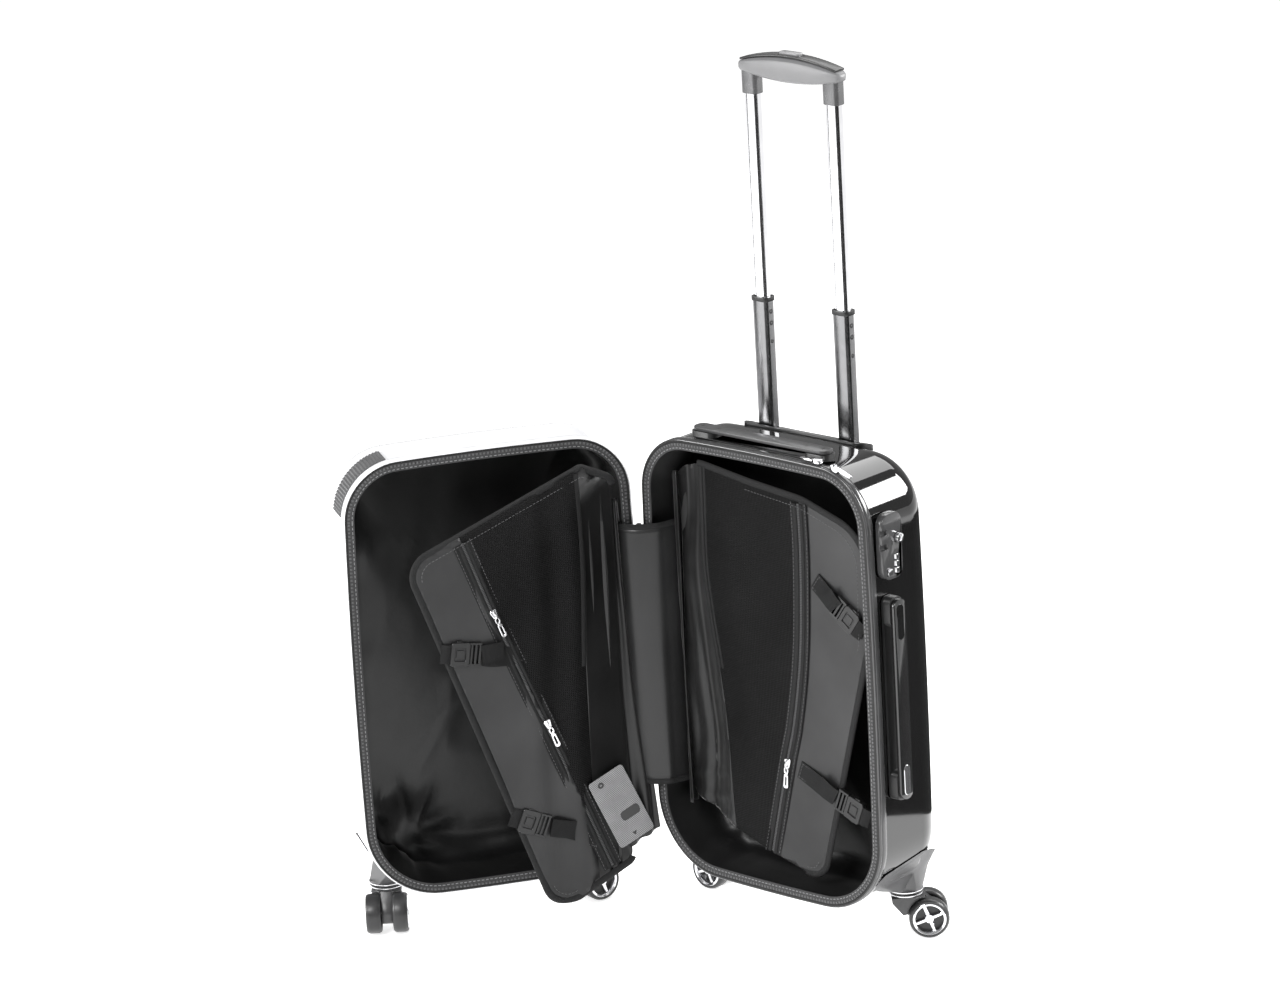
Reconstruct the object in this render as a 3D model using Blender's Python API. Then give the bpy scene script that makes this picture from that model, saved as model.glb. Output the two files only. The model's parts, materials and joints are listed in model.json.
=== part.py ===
"""Hard-shell cabin trolley case, standing on its four casters and opened like a book.

Case frame: the hinge between the halves is the upright line x = y = 0 and the floor is z = 0.
The back half stands behind the plane y = 0, open towards -Y. The front half is drawn closed, as
the back half's mirror image, and an empty on the hinge turns it open. The last step moves the
whole case so that its origin is the middle of its footprint.
"""
import math

import bmesh
import bpy
from mathutils import Matrix, Vector

# Shells, in metres
SHELL_W = 0.324
SHELL_Z0 = 0.050
SHELL_Z1 = 0.554
TOP_RADIUS = 0.062
BOTTOM_RADIUS = 0.082
EDGE_RADIUS = 0.038
BULGE = 0.004
WALL = 0.0028
LIP_WALL = 0.003
LIP_DEPTH = 0.010
LIP_STEP = 0.0015
DEPTH = {"back": 0.114, "front": 0.106}
SIDE = {"back": 1.0, "front": -1.0}
HINGE_OFFSET = 0.008
OPEN_DEG = 122.0
GAP = 0.0003
RIM_V = 0.0004
MID_S = SHELL_W / 2
MID_Z = (SHELL_Z0 + SHELL_Z1) / 2

# Fabric rim, lining and dividers
TAPE_WIDTH = 0.0097
TAPE_THICK = 0.0020
LINING_INSET = 0.0056
LINING_THICK = 0.0012
LINING_FLOOR = {"back": 0.086, "front": 0.0985}
LINING_EDGE = 0.030
COVER_Z = (0.147, 0.448)
DIVIDER_THICK = 0.003
WEBBING_THICK = 0.0015
BUCKLE_THICK = 0.0060
BACK_DIVIDER_AXIS = (0.030, 0.022)
BACK_DIVIDER = (
    (0.036, 0.517, 0.015),
    (0.225, 0.512, 0.060),
    (0.312, 0.483, 0.030),
    (0.310, 0.355, 0.100),
    (0.231, 0.066, 0.020),
    (0.036, 0.130, 0.015),
)
FRONT_SWING_DEG = 8.0
FRONT_STAND_OFF = 0.0115
FRONT_PIVOT = (0.048, 0.541)
FRONT_DIVIDER = (
    (0.280, 0.437, 0.025),
    (0.035, 0.5177, 0.015),
    (0.037, 0.0642, 0.012),
    (0.1316, 0.0188, 0.028),
)

# Trolley handle
POLE_SPACING = 0.116
POLE_V = 0.100
FIXED_TUBE = (0.025, 0.018)
LOWER_TUBE = (0.0218, 0.0150)
UPPER_TUBE = (0.0182, 0.0122)
TUBE_WALL = 0.001
COLLAR = (0.0242, 0.0174)
SLEEVE = (0.0206, 0.0146)
POLE_HOLE = (0.026, 0.020)
FIXED_Z = (0.077, 0.526)
LOWER_Z = (0.400, 0.700)
UPPER_Z = (0.640, 0.950)
SLEEVE_Z = (0.931, 0.959)
BEZEL_V = (0.084, 0.1135)
BEZEL_Z = (0.541, 0.5582)
BEZEL_FALL = 10.5
GRIP_LENGTH = 0.146
GRIP_DEPTH = 0.024
GRIP_Z = 0.9625
GRIP_RISE = 0.0105
GRIP_FALL = 0.0085
GRIP_END = 0.0060

# Carry handles, lock and zip sliders on the back half
HANDLE_V = 0.024
TOP_HANDLE_LENGTH = 0.198
SIDE_HANDLE_Z = (0.184, 0.416)
LOCK_V = 0.030
LOCK_Z = 0.472
LOCK_SIZE = (0.033, 0.074)
LOCK_FACE = 0.0118
DIAL_Z = (0.4588, 0.4512, 0.4436)
DIAL_V = 0.0375
DIAL_R = 0.0045
DIAL_AXIS = 0.0088
ZIP_V = 0.0052
ZIP_TURN_DEG = 17.0

# Casters: where each swivel stands (in from the shell's side, v behind its rim) and the way it trails
CASTER_PLACE = {
    "back_outer": (0.038, 0.0853),
    "back_hinge": (0.034, 0.0840),
    "front_outer": (0.030, 0.0560),
    "front_hinge": (0.034, 0.0600),
}
CASTER_HEADING = {"back_outer": 43.0, "back_hinge": 180.0, "front_outer": -47.0, "front_hinge": -102.0}
CASTER_TRAIL = 0.024
SEAT_Z = 0.0500
SEAT_R = 0.0190
WHEEL_R = 0.0225
WHEEL_IN = 0.0065
WHEEL_OUT = 0.0235
WHEEL_CHAMFER = 0.003
AXLE_R = 0.003
BORE_R = 0.0033

COLOURS = {
    "gloss_black": ((0.012, 0.012, 0.013), 0.08, 0.0),
    "gloss_white": ((0.85, 0.85, 0.85), 0.15, 0.0),
    "matte_black": ((0.025, 0.025, 0.026), 0.5, 0.0),
    "fabric_black": ((0.018, 0.018, 0.019), 0.8, 0.0),
    "grey_plastic": ((0.13, 0.13, 0.135), 0.5, 0.0),
    "chrome": ((0.8, 0.8, 0.8), 0.15, 1.0),
    "dark_chrome": ((0.22, 0.22, 0.23), 0.2, 1.0),
    "grip_grey": ((0.3, 0.3, 0.31), 0.45, 0.0),
    "tyre": ((0.03, 0.03, 0.03), 0.6, 0.0),
    "card": ((0.5, 0.5, 0.5), 0.5, 0.0),
}


def clear_scene():
    for obj in list(bpy.data.objects):
        bpy.data.objects.remove(obj)


def material(name):
    """The named plain material, made once."""
    existing = bpy.data.materials.get(name)
    if existing:
        return existing
    colour, roughness, metallic = COLOURS[name]
    made = bpy.data.materials.new(name)
    made.use_nodes = True
    shader = made.node_tree.nodes["Principled BSDF"]
    shader.inputs["Base Color"].default_value = (*colour, 1.0)
    shader.inputs["Roughness"].default_value = roughness
    shader.inputs["Metallic"].default_value = metallic
    return made


def empty(name, parent=None, location=(0, 0, 0), turn_deg=0.0):
    """A named frame, turned about Z."""
    obj = bpy.data.objects.new(name, None)
    obj.location = location
    obj.rotation_euler = (0, 0, math.radians(turn_deg))
    obj.parent = parent
    bpy.context.collection.objects.link(obj)
    return obj


def mesh_of(bm):
    """A mesh from a closed bmesh, faces pointing out."""
    bmesh.ops.recalc_face_normals(bm, faces=bm.faces)
    mesh = bpy.data.meshes.new("solid")
    bm.to_mesh(mesh)
    bm.free()
    return mesh


def carve(base, unions=(), cuts=()):
    """The mesh of one solid after joining the unions to it and taking the cuts out of it."""
    helpers = []
    body = bpy.data.objects.new("body", mesh_of(base))
    bpy.context.collection.objects.link(body)
    for operation, shapes in (("UNION", unions), ("DIFFERENCE", cuts)):
        for shape in shapes:
            helper = bpy.data.objects.new("helper", mesh_of(shape))
            bpy.context.collection.objects.link(helper)
            helpers.append(helper)
            modifier = body.modifiers.new("boolean", "BOOLEAN")
            modifier.object = helper
            modifier.operation = operation
            modifier.solver = "EXACT"
    evaluated = body.evaluated_get(bpy.context.evaluated_depsgraph_get())
    mesh = bpy.data.meshes.new_from_object(evaluated)
    for obj in (body, *helpers):
        bpy.data.objects.remove(obj)
    return mesh


def add_node(name, mesh, look, parent, location=(0, 0, 0), smooth_deg=35.0):
    """One named sub-part."""
    obj = bpy.data.objects.new(name, mesh)
    mesh.materials.clear()
    mesh.materials.append(material(look))
    if smooth_deg:
        mesh.shade_smooth()
        mesh.set_sharp_from_angle(angle=math.radians(smooth_deg))
    obj.location = location
    obj.parent = parent
    bpy.context.collection.objects.link(obj)
    return obj


# ---------------------------------------------------------------- shapes

def loft(rings, closed=False):
    """Bands between equal rings, with flat ends or joined round to the first ring."""
    bm = bmesh.new()
    loops = [[bm.verts.new(point) for point in ring] for ring in rings]
    pairs = list(zip(loops, loops[1:]))
    if closed:
        pairs.append((loops[-1], loops[0]))
    for low, high in pairs:
        for i in range(len(low)):
            j = (i + 1) % len(low)
            bm.faces.new((low[i], low[j], high[j], high[i]))
    if not closed:
        bm.faces.new(loops[0])
        bm.faces.new(loops[-1])
    return bm


def rounded_polygon(corners, segments=5):
    """Points round a polygon whose corners are (x, y, radius)."""
    points = []
    count = len(corners)
    for i, (x, y, radius) in enumerate(corners):
        here = Vector((x, y))
        back = (Vector(corners[i - 1][:2]) - here).normalized()
        ahead = (Vector(corners[(i + 1) % count][:2]) - here).normalized()
        half = back.angle(ahead) / 2
        reach = radius / math.tan(half)
        centre = here + (back + ahead).normalized() * (radius / math.sin(half))
        start = here + back * reach - centre
        sweep = math.copysign(math.pi - 2 * half, start.y * back.x - start.x * back.y)
        for k in range(segments + 1):
            points.append(centre + Matrix.Rotation(sweep * k / segments, 2) @ start)
    return points


def rounded_rectangle(width, height, radius, segments=3, centre=(0.0, 0.0)):
    a, b = width / 2, height / 2
    cx, cy = centre
    signs = ((1, 1), (-1, 1), (-1, -1), (1, -1))
    return rounded_polygon([(cx + i * a, cy + j * b, radius) for i, j in signs], segments)


def prism(points, axis, low, high):
    """A flat outline swept along one axis; its two coordinates are the other two axes, in order."""
    def place(point, level):
        values = [point[0], point[1]]
        values.insert("xyz".index(axis), level)
        return values
    return loft([[place(p, level) for p in points] for level in (low, high)])


def box(low, high):
    plan = ((low[0], low[1]), (high[0], low[1]), (high[0], high[1]), (low[0], high[1]))
    return prism(plan, "z", low[2], high[2])


def tube(outer, inner, z_range, centre, segments=3):
    """An oblong tube, upright."""
    rings = []
    low, high = z_range
    for (width, depth), z in ((outer, low), (outer, high), (inner, high), (inner, low)):
        section = rounded_rectangle(width, depth, depth * 0.3, segments, centre)
        rings.append([(p.x, p.y, z) for p in section])
    return loft(rings, closed=True)


def circle(radius, segments, centre=(0.0, 0.0)):
    angles = [2 * math.pi * k / segments for k in range(segments)]
    return [(centre[0] + radius * math.cos(a), centre[1] + radius * math.sin(a)) for a in angles]


def turned(profile, segments, axis):
    """A (radius, height) profile turned about one axis through the origin, with flat ends."""
    rings = []
    for radius, height in profile:
        ring = []
        for first, second in circle(radius, segments):
            point = [first, second]
            point.insert("xyz".index(axis), height)
            ring.append(point)
        rings.append(ring)
    return loft(rings)


def rod(radius, low, high, axis, segments=16, centre=(0.0, 0.0)):
    """A plain cylinder along one axis."""
    return prism(circle(radius, segments, centre), axis, low, high)


# ---------------------------------------------------------------- shells and rims

def bulged(s, z):
    """Shell sides and ends bow out a little in the middle."""
    across = (s - MID_S) / MID_S
    up = (z - MID_Z) / (MID_Z - SHELL_Z0)
    return s + BULGE * (1 - up * up) * across, z + BULGE * (1 - across * across) * up


def outline(inset, corner_steps=8, long_steps=6, short_steps=4):
    """Outline of the shell (s across from the hinge side, z up), moved in by inset."""
    left, right = inset, SHELL_W - inset
    low, high = SHELL_Z0 + inset, SHELL_Z1 - inset
    top, bottom = TOP_RADIUS - inset, BOTTOM_RADIUS - inset
    corners = (
        (right - top, high - top, 0, top),
        (left + top, high - top, 90, top),
        (left + bottom, low + bottom, 180, bottom),
        (right - bottom, low + bottom, 270, bottom),
    )
    points = []
    for i, (cs, cz, start, radius) in enumerate(corners):
        for k in range(corner_steps + 1):
            angle = math.radians(start + 90 * k / corner_steps)
            points.append(Vector((cs + radius * math.cos(angle), cz + radius * math.sin(angle))))
        ns, nz, _, next_radius = corners[(i + 1) % 4]
        angle = math.radians(start + 90)
        end = Vector((ns + next_radius * math.cos(angle), nz + next_radius * math.sin(angle)))
        begin = points[-1]
        steps = long_steps if i % 2 else short_steps
        points += [begin.lerp(end, k / steps) for k in range(1, steps)]
    return [bulged(p.x, p.y) for p in points]


def half_ring(half, inset, v, **steps):
    """Outline ring of one half at an inset and a depth v behind its rim."""
    return [(HINGE_OFFSET + s, SIDE[half] * v, z) for s, z in outline(inset, **steps)]


def edge_arc(inset, v, radius, steps):
    """Rounded edge between a side wall and the flat face: (inset, v) along a quarter circle."""
    arc = []
    for k in range(1, steps + 1):
        angle = math.radians(90 * k / steps)
        arc.append((inset + radius * (1 - math.cos(angle)), v + radius * math.sin(angle)))
    return arc


def shell_block(half, gap=GAP):
    """The room that a shell takes up, with a gap round it."""
    depth = DEPTH[half]
    spring = depth - EDGE_RADIUS
    wall = LIP_STEP - gap
    profile = [(-gap, -0.02), (-gap, LIP_DEPTH), (wall, LIP_DEPTH + 0.0025), (wall, spring)]
    profile += edge_arc(wall, spring, EDGE_RADIUS + gap, 4)
    return loft([half_ring(half, inset, v) for inset, v in profile])


def shell_profile(depth):
    """(inset, v) from the middle of the outside, over the rim, to the middle of the inside."""
    spring = depth - EDGE_RADIUS
    inside = LIP_STEP + WALL
    outer = [(0, RIM_V), (0, LIP_DEPTH), (LIP_STEP, LIP_DEPTH + 0.0025), (LIP_STEP, spring)]
    outer += edge_arc(LIP_STEP, spring, EDGE_RADIUS, 4)
    inner = [(LIP_WALL, RIM_V), (LIP_WALL, LIP_DEPTH), (inside, LIP_DEPTH + 0.003), (inside, spring)]
    inner += edge_arc(inside, spring, EDGE_RADIUS - WALL, 4)
    return outer[::-1] + inner


def pole_centres():
    middle = HINGE_OFFSET + MID_S
    return [(middle + sign * POLE_SPACING / 2, POLE_V) for sign in (-1, 1)]


def pole_hole(centre):
    """Cutter for the oblong hole that a pole runs through."""
    section = rounded_rectangle(*POLE_HOLE, 0.006, centre=centre)
    return prism(section, "z", 0.50, 0.60)


def add_shell(half, parent):
    base = loft([half_ring(half, inset, v) for inset, v in shell_profile(DEPTH[half])])
    cuts = [pole_hole(centre) for centre in pole_centres()] if half == "back" else []
    look = "gloss_black" if half == "back" else "gloss_white"
    add_node(half + "_shell", carve(base, cuts=cuts), look, parent)


def add_zip_tape(half, parent):
    near = LIP_WALL + GAP
    far = near + TAPE_WIDTH
    corners = ((near, RIM_V), (far, RIM_V), (far, RIM_V + TAPE_THICK), (near, RIM_V + TAPE_THICK))
    rings = [half_ring(half, inset, v) for inset, v in corners]
    add_node(half + "_zip_tape", mesh_of(loft(rings, closed=True)), "fabric_black", parent)


def add_lining(half, parent):
    """Thin fabric bowl inside a shell; at the back its floor covers the trolley tubes."""
    floor = LINING_FLOOR[half]
    start = RIM_V + TAPE_THICK + 0.0006
    spring = floor - LINING_EDGE
    outer = [(LINING_INSET, start), (LINING_INSET, spring)]
    outer += edge_arc(LINING_INSET, spring, LINING_EDGE, 3)
    inside = LINING_INSET + LINING_THICK
    inner = [(inside, start), (inside, spring)]
    inner += edge_arc(inside, spring, LINING_EDGE - LINING_THICK, 3)
    steps = {"corner_steps": 6, "long_steps": 4, "short_steps": 3}
    rings = [half_ring(half, inset, v, **steps) for inset, v in outer[::-1] + inner]
    add_node(half + "_lining", mesh_of(loft(rings)), "fabric_black", parent)


def add_hinge_cover(half, parent):
    """Upright smooth strip over the hinge, one part in each half."""
    side = SIDE[half]
    low, high = Vector((0.0225, 0.0010)), Vector((0.0290, 0.0300))
    across = Vector((0.0020, 0.0))
    corners = (low, low + across, high + across, high)
    section = [(p.x, side * p.y) for p in corners]
    cover = mesh_of(prism(section, "z", *COVER_Z))
    add_node("hinge_cover_" + half, cover, "matte_black", parent, smooth_deg=0)


# ---------------------------------------------------------------- dividers

def divider_plate(corners, pivot):
    """A divider's panel in its own plane: x across, z up from the pivot."""
    points = [(p.x - pivot[0], p.y - pivot[1]) for p in rounded_polygon(corners, 6)]
    return mesh_of(prism(points, "y", -DIVIDER_THICK / 2, DIVIDER_THICK / 2))


def strip(start, end, width, y_low, y_high, pivot, end_radius=0.003):
    """A flat strip lying on a divider, from start to end in the divider's (x, z)."""
    begin = Vector(start) - Vector(pivot)
    finish = Vector(end) - Vector(pivot)
    along = (finish - begin).normalized()
    across = Vector((-along.y, along.x)) * width / 2
    corners = (begin + across, begin - across, finish - across, finish + across)
    points = rounded_polygon([(p.x, p.y, end_radius) for p in corners], 2)
    return prism(points, "y", y_low, y_high)


def add_straps(prefix, pivot, straps, face, parent):
    """Webbing and side-release buckles on a divider. Each strap is (name, buckle, webbing end)."""
    near = face * (DIVIDER_THICK / 2 + GAP)
    webbing_range = sorted((near, near + face * WEBBING_THICK))
    buckle_range = sorted((near, near + face * BUCKLE_THICK))
    for name, buckle, end in straps:
        start, finish = Vector(buckle), Vector(end)
        along = (finish - start).normalized()
        webbing = strip(start + along * 0.0195, finish, 0.022, *webbing_range, pivot)
        plate = strip(start - along * 0.019, start + along * 0.019, 0.027, *buckle_range, pivot)
        add_node("%s_strap_%s" % (prefix, name), mesh_of(webbing), "fabric_black", parent, smooth_deg=0)
        add_node("%s_buckle_%s" % (prefix, name), mesh_of(plate), "matte_black", parent, smooth_deg=0)


def add_zip_pull(name, centre, toward, pivot, face, parent):
    """Slider and pull of a divider's zip."""
    start = Vector(centre)
    along = (Vector(toward) - start).normalized()
    near = face * (DIVIDER_THICK / 2 + GAP)
    body = strip(start, start + along * 0.010, 0.009, *sorted((near, near + face * 0.004)), pivot, 0.002)
    pull_range = sorted((near + face * 0.001, near + face * 0.0035))
    pull = strip(start + along * 0.008, start + along * 0.032, 0.0065, *pull_range, pivot, 0.002)
    add_node(name, carve(body, unions=[pull]), "chrome", parent, smooth_deg=0)


def add_back_divider(parent):
    x, v = BACK_DIVIDER_AXIS
    pivot = (x, 0.0)
    frame = empty("back_divider_axis", parent, (x, v, 0))
    add_node("back_divider", divider_plate(BACK_DIVIDER, pivot), "fabric_black", frame)
    straps = (("high", (0.284, 0.386), (0.240, 0.418)), ("low", (0.278, 0.165), (0.205, 0.194)))
    add_straps("back_divider", pivot, straps, -1, frame)
    add_zip_pull("back_divider_zip_pull", (0.190, 0.203), (0.186, 0.160), pivot, -1, frame)


def add_front_divider(parent):
    """The front divider hangs out of its half, turned down about its top corner."""
    swing = math.radians(FRONT_SWING_DEG)
    along = Vector((math.cos(swing), math.sin(swing)))
    out = Vector((-math.sin(swing), math.cos(swing)))
    spot = along * FRONT_PIVOT[0] + out * FRONT_STAND_OFF
    frame = empty("front_divider_axis", parent, (spot.x, spot.y, FRONT_PIVOT[1]), FRONT_SWING_DEG)
    add_node("front_divider", divider_plate(FRONT_DIVIDER, FRONT_PIVOT), "fabric_black", frame)
    straps = (("high", (0.222, 0.340), (0.147, 0.328)), ("low", (0.154, 0.130), (0.074, 0.094)))
    add_straps("front_divider", FRONT_PIVOT, straps, 1, frame)
    zip_low, zip_high = (0.0607, 0.0596), (0.216, 0.4547)
    add_zip_pull("front_divider_zip_pull_high", (0.1865, 0.3840), zip_low, FRONT_PIVOT, 1, frame)
    add_zip_pull("front_divider_zip_pull_low", (0.1310, 0.2460), zip_low, FRONT_PIVOT, 1, frame)
    near = DIVIDER_THICK / 2 + WEBBING_THICK + 2 * GAP
    card = strip((0.0815, 0.1780), (0.0430, 0.0900), 0.044, near, near + 0.0012, FRONT_PIVOT)
    add_node("tag_card", mesh_of(card), "card", frame, smooth_deg=0)


# ---------------------------------------------------------------- casters

def housing_mesh(place):
    """Corner cap: a round seat for the swivel that widens over the shell's lower corner."""
    half, corner = place.split("_")
    depth, side = DEPTH[half], SIDE[half]
    proud, inner, front = 0.002, 0.058, 0.010
    corners = (
        (-proud, front, 0.006),
        (-proud, depth + proud, EDGE_RADIUS),
        (inner, depth + proud, 0.014),
        (inner, front, 0.020),
    )
    plan = rounded_polygon(corners)
    middle = sum(plan, Vector((0, 0))) / len(plan)
    swivel = Vector(CASTER_PLACE[place])
    around = [(p - swivel).normalized() for p in plan]

    def ring(points, height):
        placed = []
        for d, v in points:
            x = HINGE_OFFSET + (SHELL_W - d if corner == "outer" else d)
            placed.append((x, side * v, height(d, v) if callable(height) else height))
        return placed

    def top(d, v):
        slope = 0.1070 - 0.59 * (d + proud) - 0.50 * max(0.0, 0.042 - v)
        return max(slope, SEAT_Z + 0.012)

    def middle_height(d, v):
        return SEAT_Z + 0.004 + 0.45 * (top(d, v) - SEAT_Z - 0.004)

    foot = [swivel + p * SEAT_R for p in around]
    block = loft([
        ring([swivel + p * (SEAT_R - 0.0012) for p in around], SEAT_Z),
        ring(foot, SEAT_Z + 0.0012),
        ring(foot, SEAT_Z + 0.0040),
        ring([f.lerp(p, 0.62) for f, p in zip(foot, plan)], middle_height),
        ring(plan, lambda d, v: top(d, v) - 0.0025),
        ring([middle + (p - middle) * 0.93 for p in plan], top),
    ])
    return carve(block, cuts=[shell_block(half, 2 * GAP)])


def around_axle(radius, angles):
    """Points (x, z) round the axle of a caster, at angles in degrees."""
    spots = [(math.cos(math.radians(angle)), math.sin(math.radians(angle))) for angle in angles]
    return [(CASTER_TRAIL + radius * c, WHEEL_R + radius * s) for c, s in spots]


def fork_mesh():
    """Swivel disc with the stem between the wheels and the cover in front of them."""
    under = SEAT_Z - 0.0036
    stem = [(-0.0170, under), (0.0200, under), (0.0300, 0.0370)]
    stem += around_axle(0.0125, range(40, -151, -19)) + [(-0.0040, 0.0255), (-0.0160, 0.0405)]
    cover = [(-0.0168, under + 0.0002)] + around_axle(0.0243, (98, 112, 126, 140, 154, 168))
    cover += [(-0.0042, 0.0262), (-0.0158, 0.0405)]
    disc = rod(SEAT_R - 0.0008, under - 0.0002, SEAT_Z - GAP, "z", 24)
    hole = rod(BORE_R, -0.02, 0.02, "y", centre=(CASTER_TRAIL, WHEEL_R))
    half_stem = WHEEL_IN - GAP
    parts = [prism(cover, "y", -0.0170, 0.0170), disc]
    return carve(prism(stem, "y", -half_stem, half_stem), unions=parts, cuts=[hole])


def wheel_set_mesh():
    """Two wheels pressed on one axle, which turns in the fork."""
    shoulder = WHEEL_R - WHEEL_CHAMFER
    side = (
        (shoulder, WHEEL_OUT),
        (WHEEL_R, WHEEL_OUT - WHEEL_CHAMFER),
        (WHEEL_R, WHEEL_IN + WHEEL_CHAMFER),
        (shoulder, WHEEL_IN),
        (AXLE_R, WHEEL_IN),
    )
    profile = list(side) + [(radius, -y) for radius, y in reversed(side)]
    return mesh_of(turned(profile, 20, "y"))


def add_caster(place, parent, meshes):
    half, corner = place.split("_")
    d, v = CASTER_PLACE[place]
    x, y = HINGE_OFFSET + (SHELL_W - d if corner == "outer" else d), SIDE[half] * v
    heading = CASTER_HEADING[place] + (OPEN_DEG if half == "front" else 0.0)
    swivel = empty("swivel_" + place, parent, (x, y, 0), heading)
    add_node("caster_housing_" + place, housing_mesh(place), "grey_plastic", parent)
    add_node("caster_fork_" + place, meshes["fork"], "grey_plastic", swivel)
    add_node("caster_wheels_" + place, meshes["wheels"], "tyre", swivel, (CASTER_TRAIL, 0, WHEEL_R))


# ---------------------------------------------------------------- trolley handle

def add_fixed_tubes(parent):
    inner = tuple(size - 0.0024 for size in FIXED_TUBE)
    for side, centre in zip(("left", "right"), pole_centres()):
        mesh = mesh_of(tube(FIXED_TUBE, inner, FIXED_Z, centre))
        add_node("trolley_fixed_tube_" + side, mesh, "dark_chrome", parent)
    middle = HINGE_OFFSET + MID_S
    foot = rounded_rectangle(POLE_SPACING + 0.040, 0.015, 0.005, 3, (middle, POLE_V - 0.0035))
    mesh = mesh_of(prism(foot, "z", FIXED_Z[0] - 0.0055, FIXED_Z[0] - GAP))
    add_node("trolley_foot", mesh, "matte_black", parent)


def add_bezel(parent):
    """Plate round the poles, which follows the shell down towards its back."""
    middle = HINGE_OFFSET + MID_S
    low_v, high_v = BEZEL_V
    plan = rounded_rectangle(0.172, high_v - low_v, 0.010, 4, (middle, (low_v + high_v) / 2))
    low, high = BEZEL_Z
    rings = [[(p.x, p.y, low) for p in plan]]
    rings.append([(p.x, p.y, high - BEZEL_FALL * (p.y - low_v) ** 2) for p in plan])
    cuts = [shell_block("back")] + [pole_hole(centre) for centre in pole_centres()]
    add_node("trolley_bezel", carve(loft(rings), cuts=cuts), "matte_black", parent)


def collar_mesh(centre):
    """Cap round the top end of a lower tube, with the hole that the upper tube slides in."""
    top = LOWER_Z[1] + 0.0025
    seat = LOWER_Z[1] + 2 * GAP
    hole = tuple(size + 0.0008 for size in UPPER_TUBE)
    round_tube = tuple(size + 0.0006 for size in LOWER_TUBE)
    low = LOWER_Z[1] - 0.0025
    levels = ((COLLAR, low), (COLLAR, top), (hole, top), (hole, seat), (round_tube, seat), (round_tube, low))
    rings = []
    for (width, depth), z in levels:
        section = rounded_rectangle(width, depth, depth * 0.3, 3, centre)
        rings.append([(p.x, p.y, z) for p in section])
    return mesh_of(loft(rings, closed=True))


def add_stages(parent):
    """Lower and upper telescopic stages, drawn out."""
    for side, centre in zip(("left", "right"), pole_centres()):
        for stage, size, z_range in (("lower", LOWER_TUBE, LOWER_Z), ("upper", UPPER_TUBE, UPPER_Z)):
            inner = tuple(value - 2 * TUBE_WALL for value in size)
            look = "dark_chrome" if stage == "lower" else "chrome"
            name = "trolley_%s_tube_%s" % (stage, side)
            add_node(name, mesh_of(tube(size, inner, z_range, centre)), look, parent)
        add_node("trolley_collar_" + side, collar_mesh(centre), "matte_black", parent)


def grip_levels(t):
    """Lowest and highest point of the grip at t, from -1 at one end to 1 at the other."""
    swell = 1 - t * t
    return GRIP_Z - GRIP_END - GRIP_FALL * swell, GRIP_Z + GRIP_END + GRIP_RISE * swell


def grip_section(t, low, high, depth):
    """Rounded section of the grip across Y at one place along it."""
    x = HINGE_OFFSET + MID_S + t * GRIP_LENGTH / 2
    radius = min(high - low, depth) * 0.3
    points = rounded_rectangle(depth, high - low, radius, 3, (POLE_V, (low + high) / 2))
    return [(x, p.x, p.y) for p in points]


def grip_sleeve(centre):
    hole = tuple(size + 0.0007 for size in UPPER_TUBE)
    return tube(SLEEVE, hole, SLEEVE_Z, centre)


def add_grip(parent):
    cap_thick, cap_width = 0.0028, 0.016
    places = [k / 6 * 0.93 for k in range(-6, 7)]
    ends = (0.97, 0.99, 1.0)
    body, cap = [], []
    for t in [-t for t in reversed(ends)] + places + list(ends):
        low, high = grip_levels(t)
        depth = GRIP_DEPTH * (1 - 0.3 * t * t)
        top = high - cap_thick
        if abs(t) > 0.95:
            share = math.sqrt(1 - ((abs(t) - 0.93) / 0.072) ** 2)
            middle = (low + top) / 2
            low, top = middle + (low - middle) * share, middle + (top - middle) * share
            depth *= share
        else:
            cap.append(grip_section(t, top + GAP, high, cap_width))
        body.append(grip_section(t, low, top, depth))
    sleeves = [grip_sleeve(centre) for centre in pole_centres()]
    add_node("grip_body", carve(loft(body), unions=sleeves), "grip_grey", parent)
    middle = HINGE_OFFSET + MID_S
    peak = GRIP_Z + GRIP_END + GRIP_RISE
    reach = Vector((0.015, 0.0055, 0.010))
    slot = box(Vector((middle, POLE_V, peak)) - reach, Vector((middle, POLE_V, peak)) + reach)
    add_node("grip_cap", carve(loft(cap), cuts=[slot]), "matte_black", parent)
    button = rounded_rectangle(0.0288, 0.0098, 0.003, 3, (middle, POLE_V))
    low = peak - cap_thick + 0.0021
    add_node("grip_button", mesh_of(prism(button, "z", low, peak + 0.0025)), "chrome", parent)


# ---------------------------------------------------------------- carry handles

def handle_parts(length, base_low, heights):
    """Base and lifting bar of a carry handle, lengthways along Z, out along X from base_low.

    heights are (base plate top, block top, bar low, bar high) above base_low.
    """
    plate, block, bar_low, bar_high = (base_low + h for h in heights)
    half = length / 2
    base = prism(rounded_rectangle(0.021, length, 0.008, 4), "x", base_low, plate)
    blocks, slots, legs = [], [], []
    for sign in (-1, 1):
        centre = (0.0, sign * (half - 0.017))
        blocks.append(prism(rounded_rectangle(0.0205, 0.033, 0.007, 4, centre), "x", plate - 0.0005, block))
        slot = rounded_rectangle(0.0098, 0.0158, 0.002, 2, centre)
        leg = rounded_rectangle(0.0090, 0.0150, 0.002, 2, centre)
        slots.append(prism(slot, "x", plate + 0.0004, block + 0.01))
        legs.append(prism(leg, "x", plate + 0.0008, bar_low + 0.001))
    bar = prism(rounded_rectangle(0.0190, length - 0.004, 0.0085, 4), "x", bar_low, bar_high)
    return carve(base, unions=blocks, cuts=slots), carve(bar, unions=legs)


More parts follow.
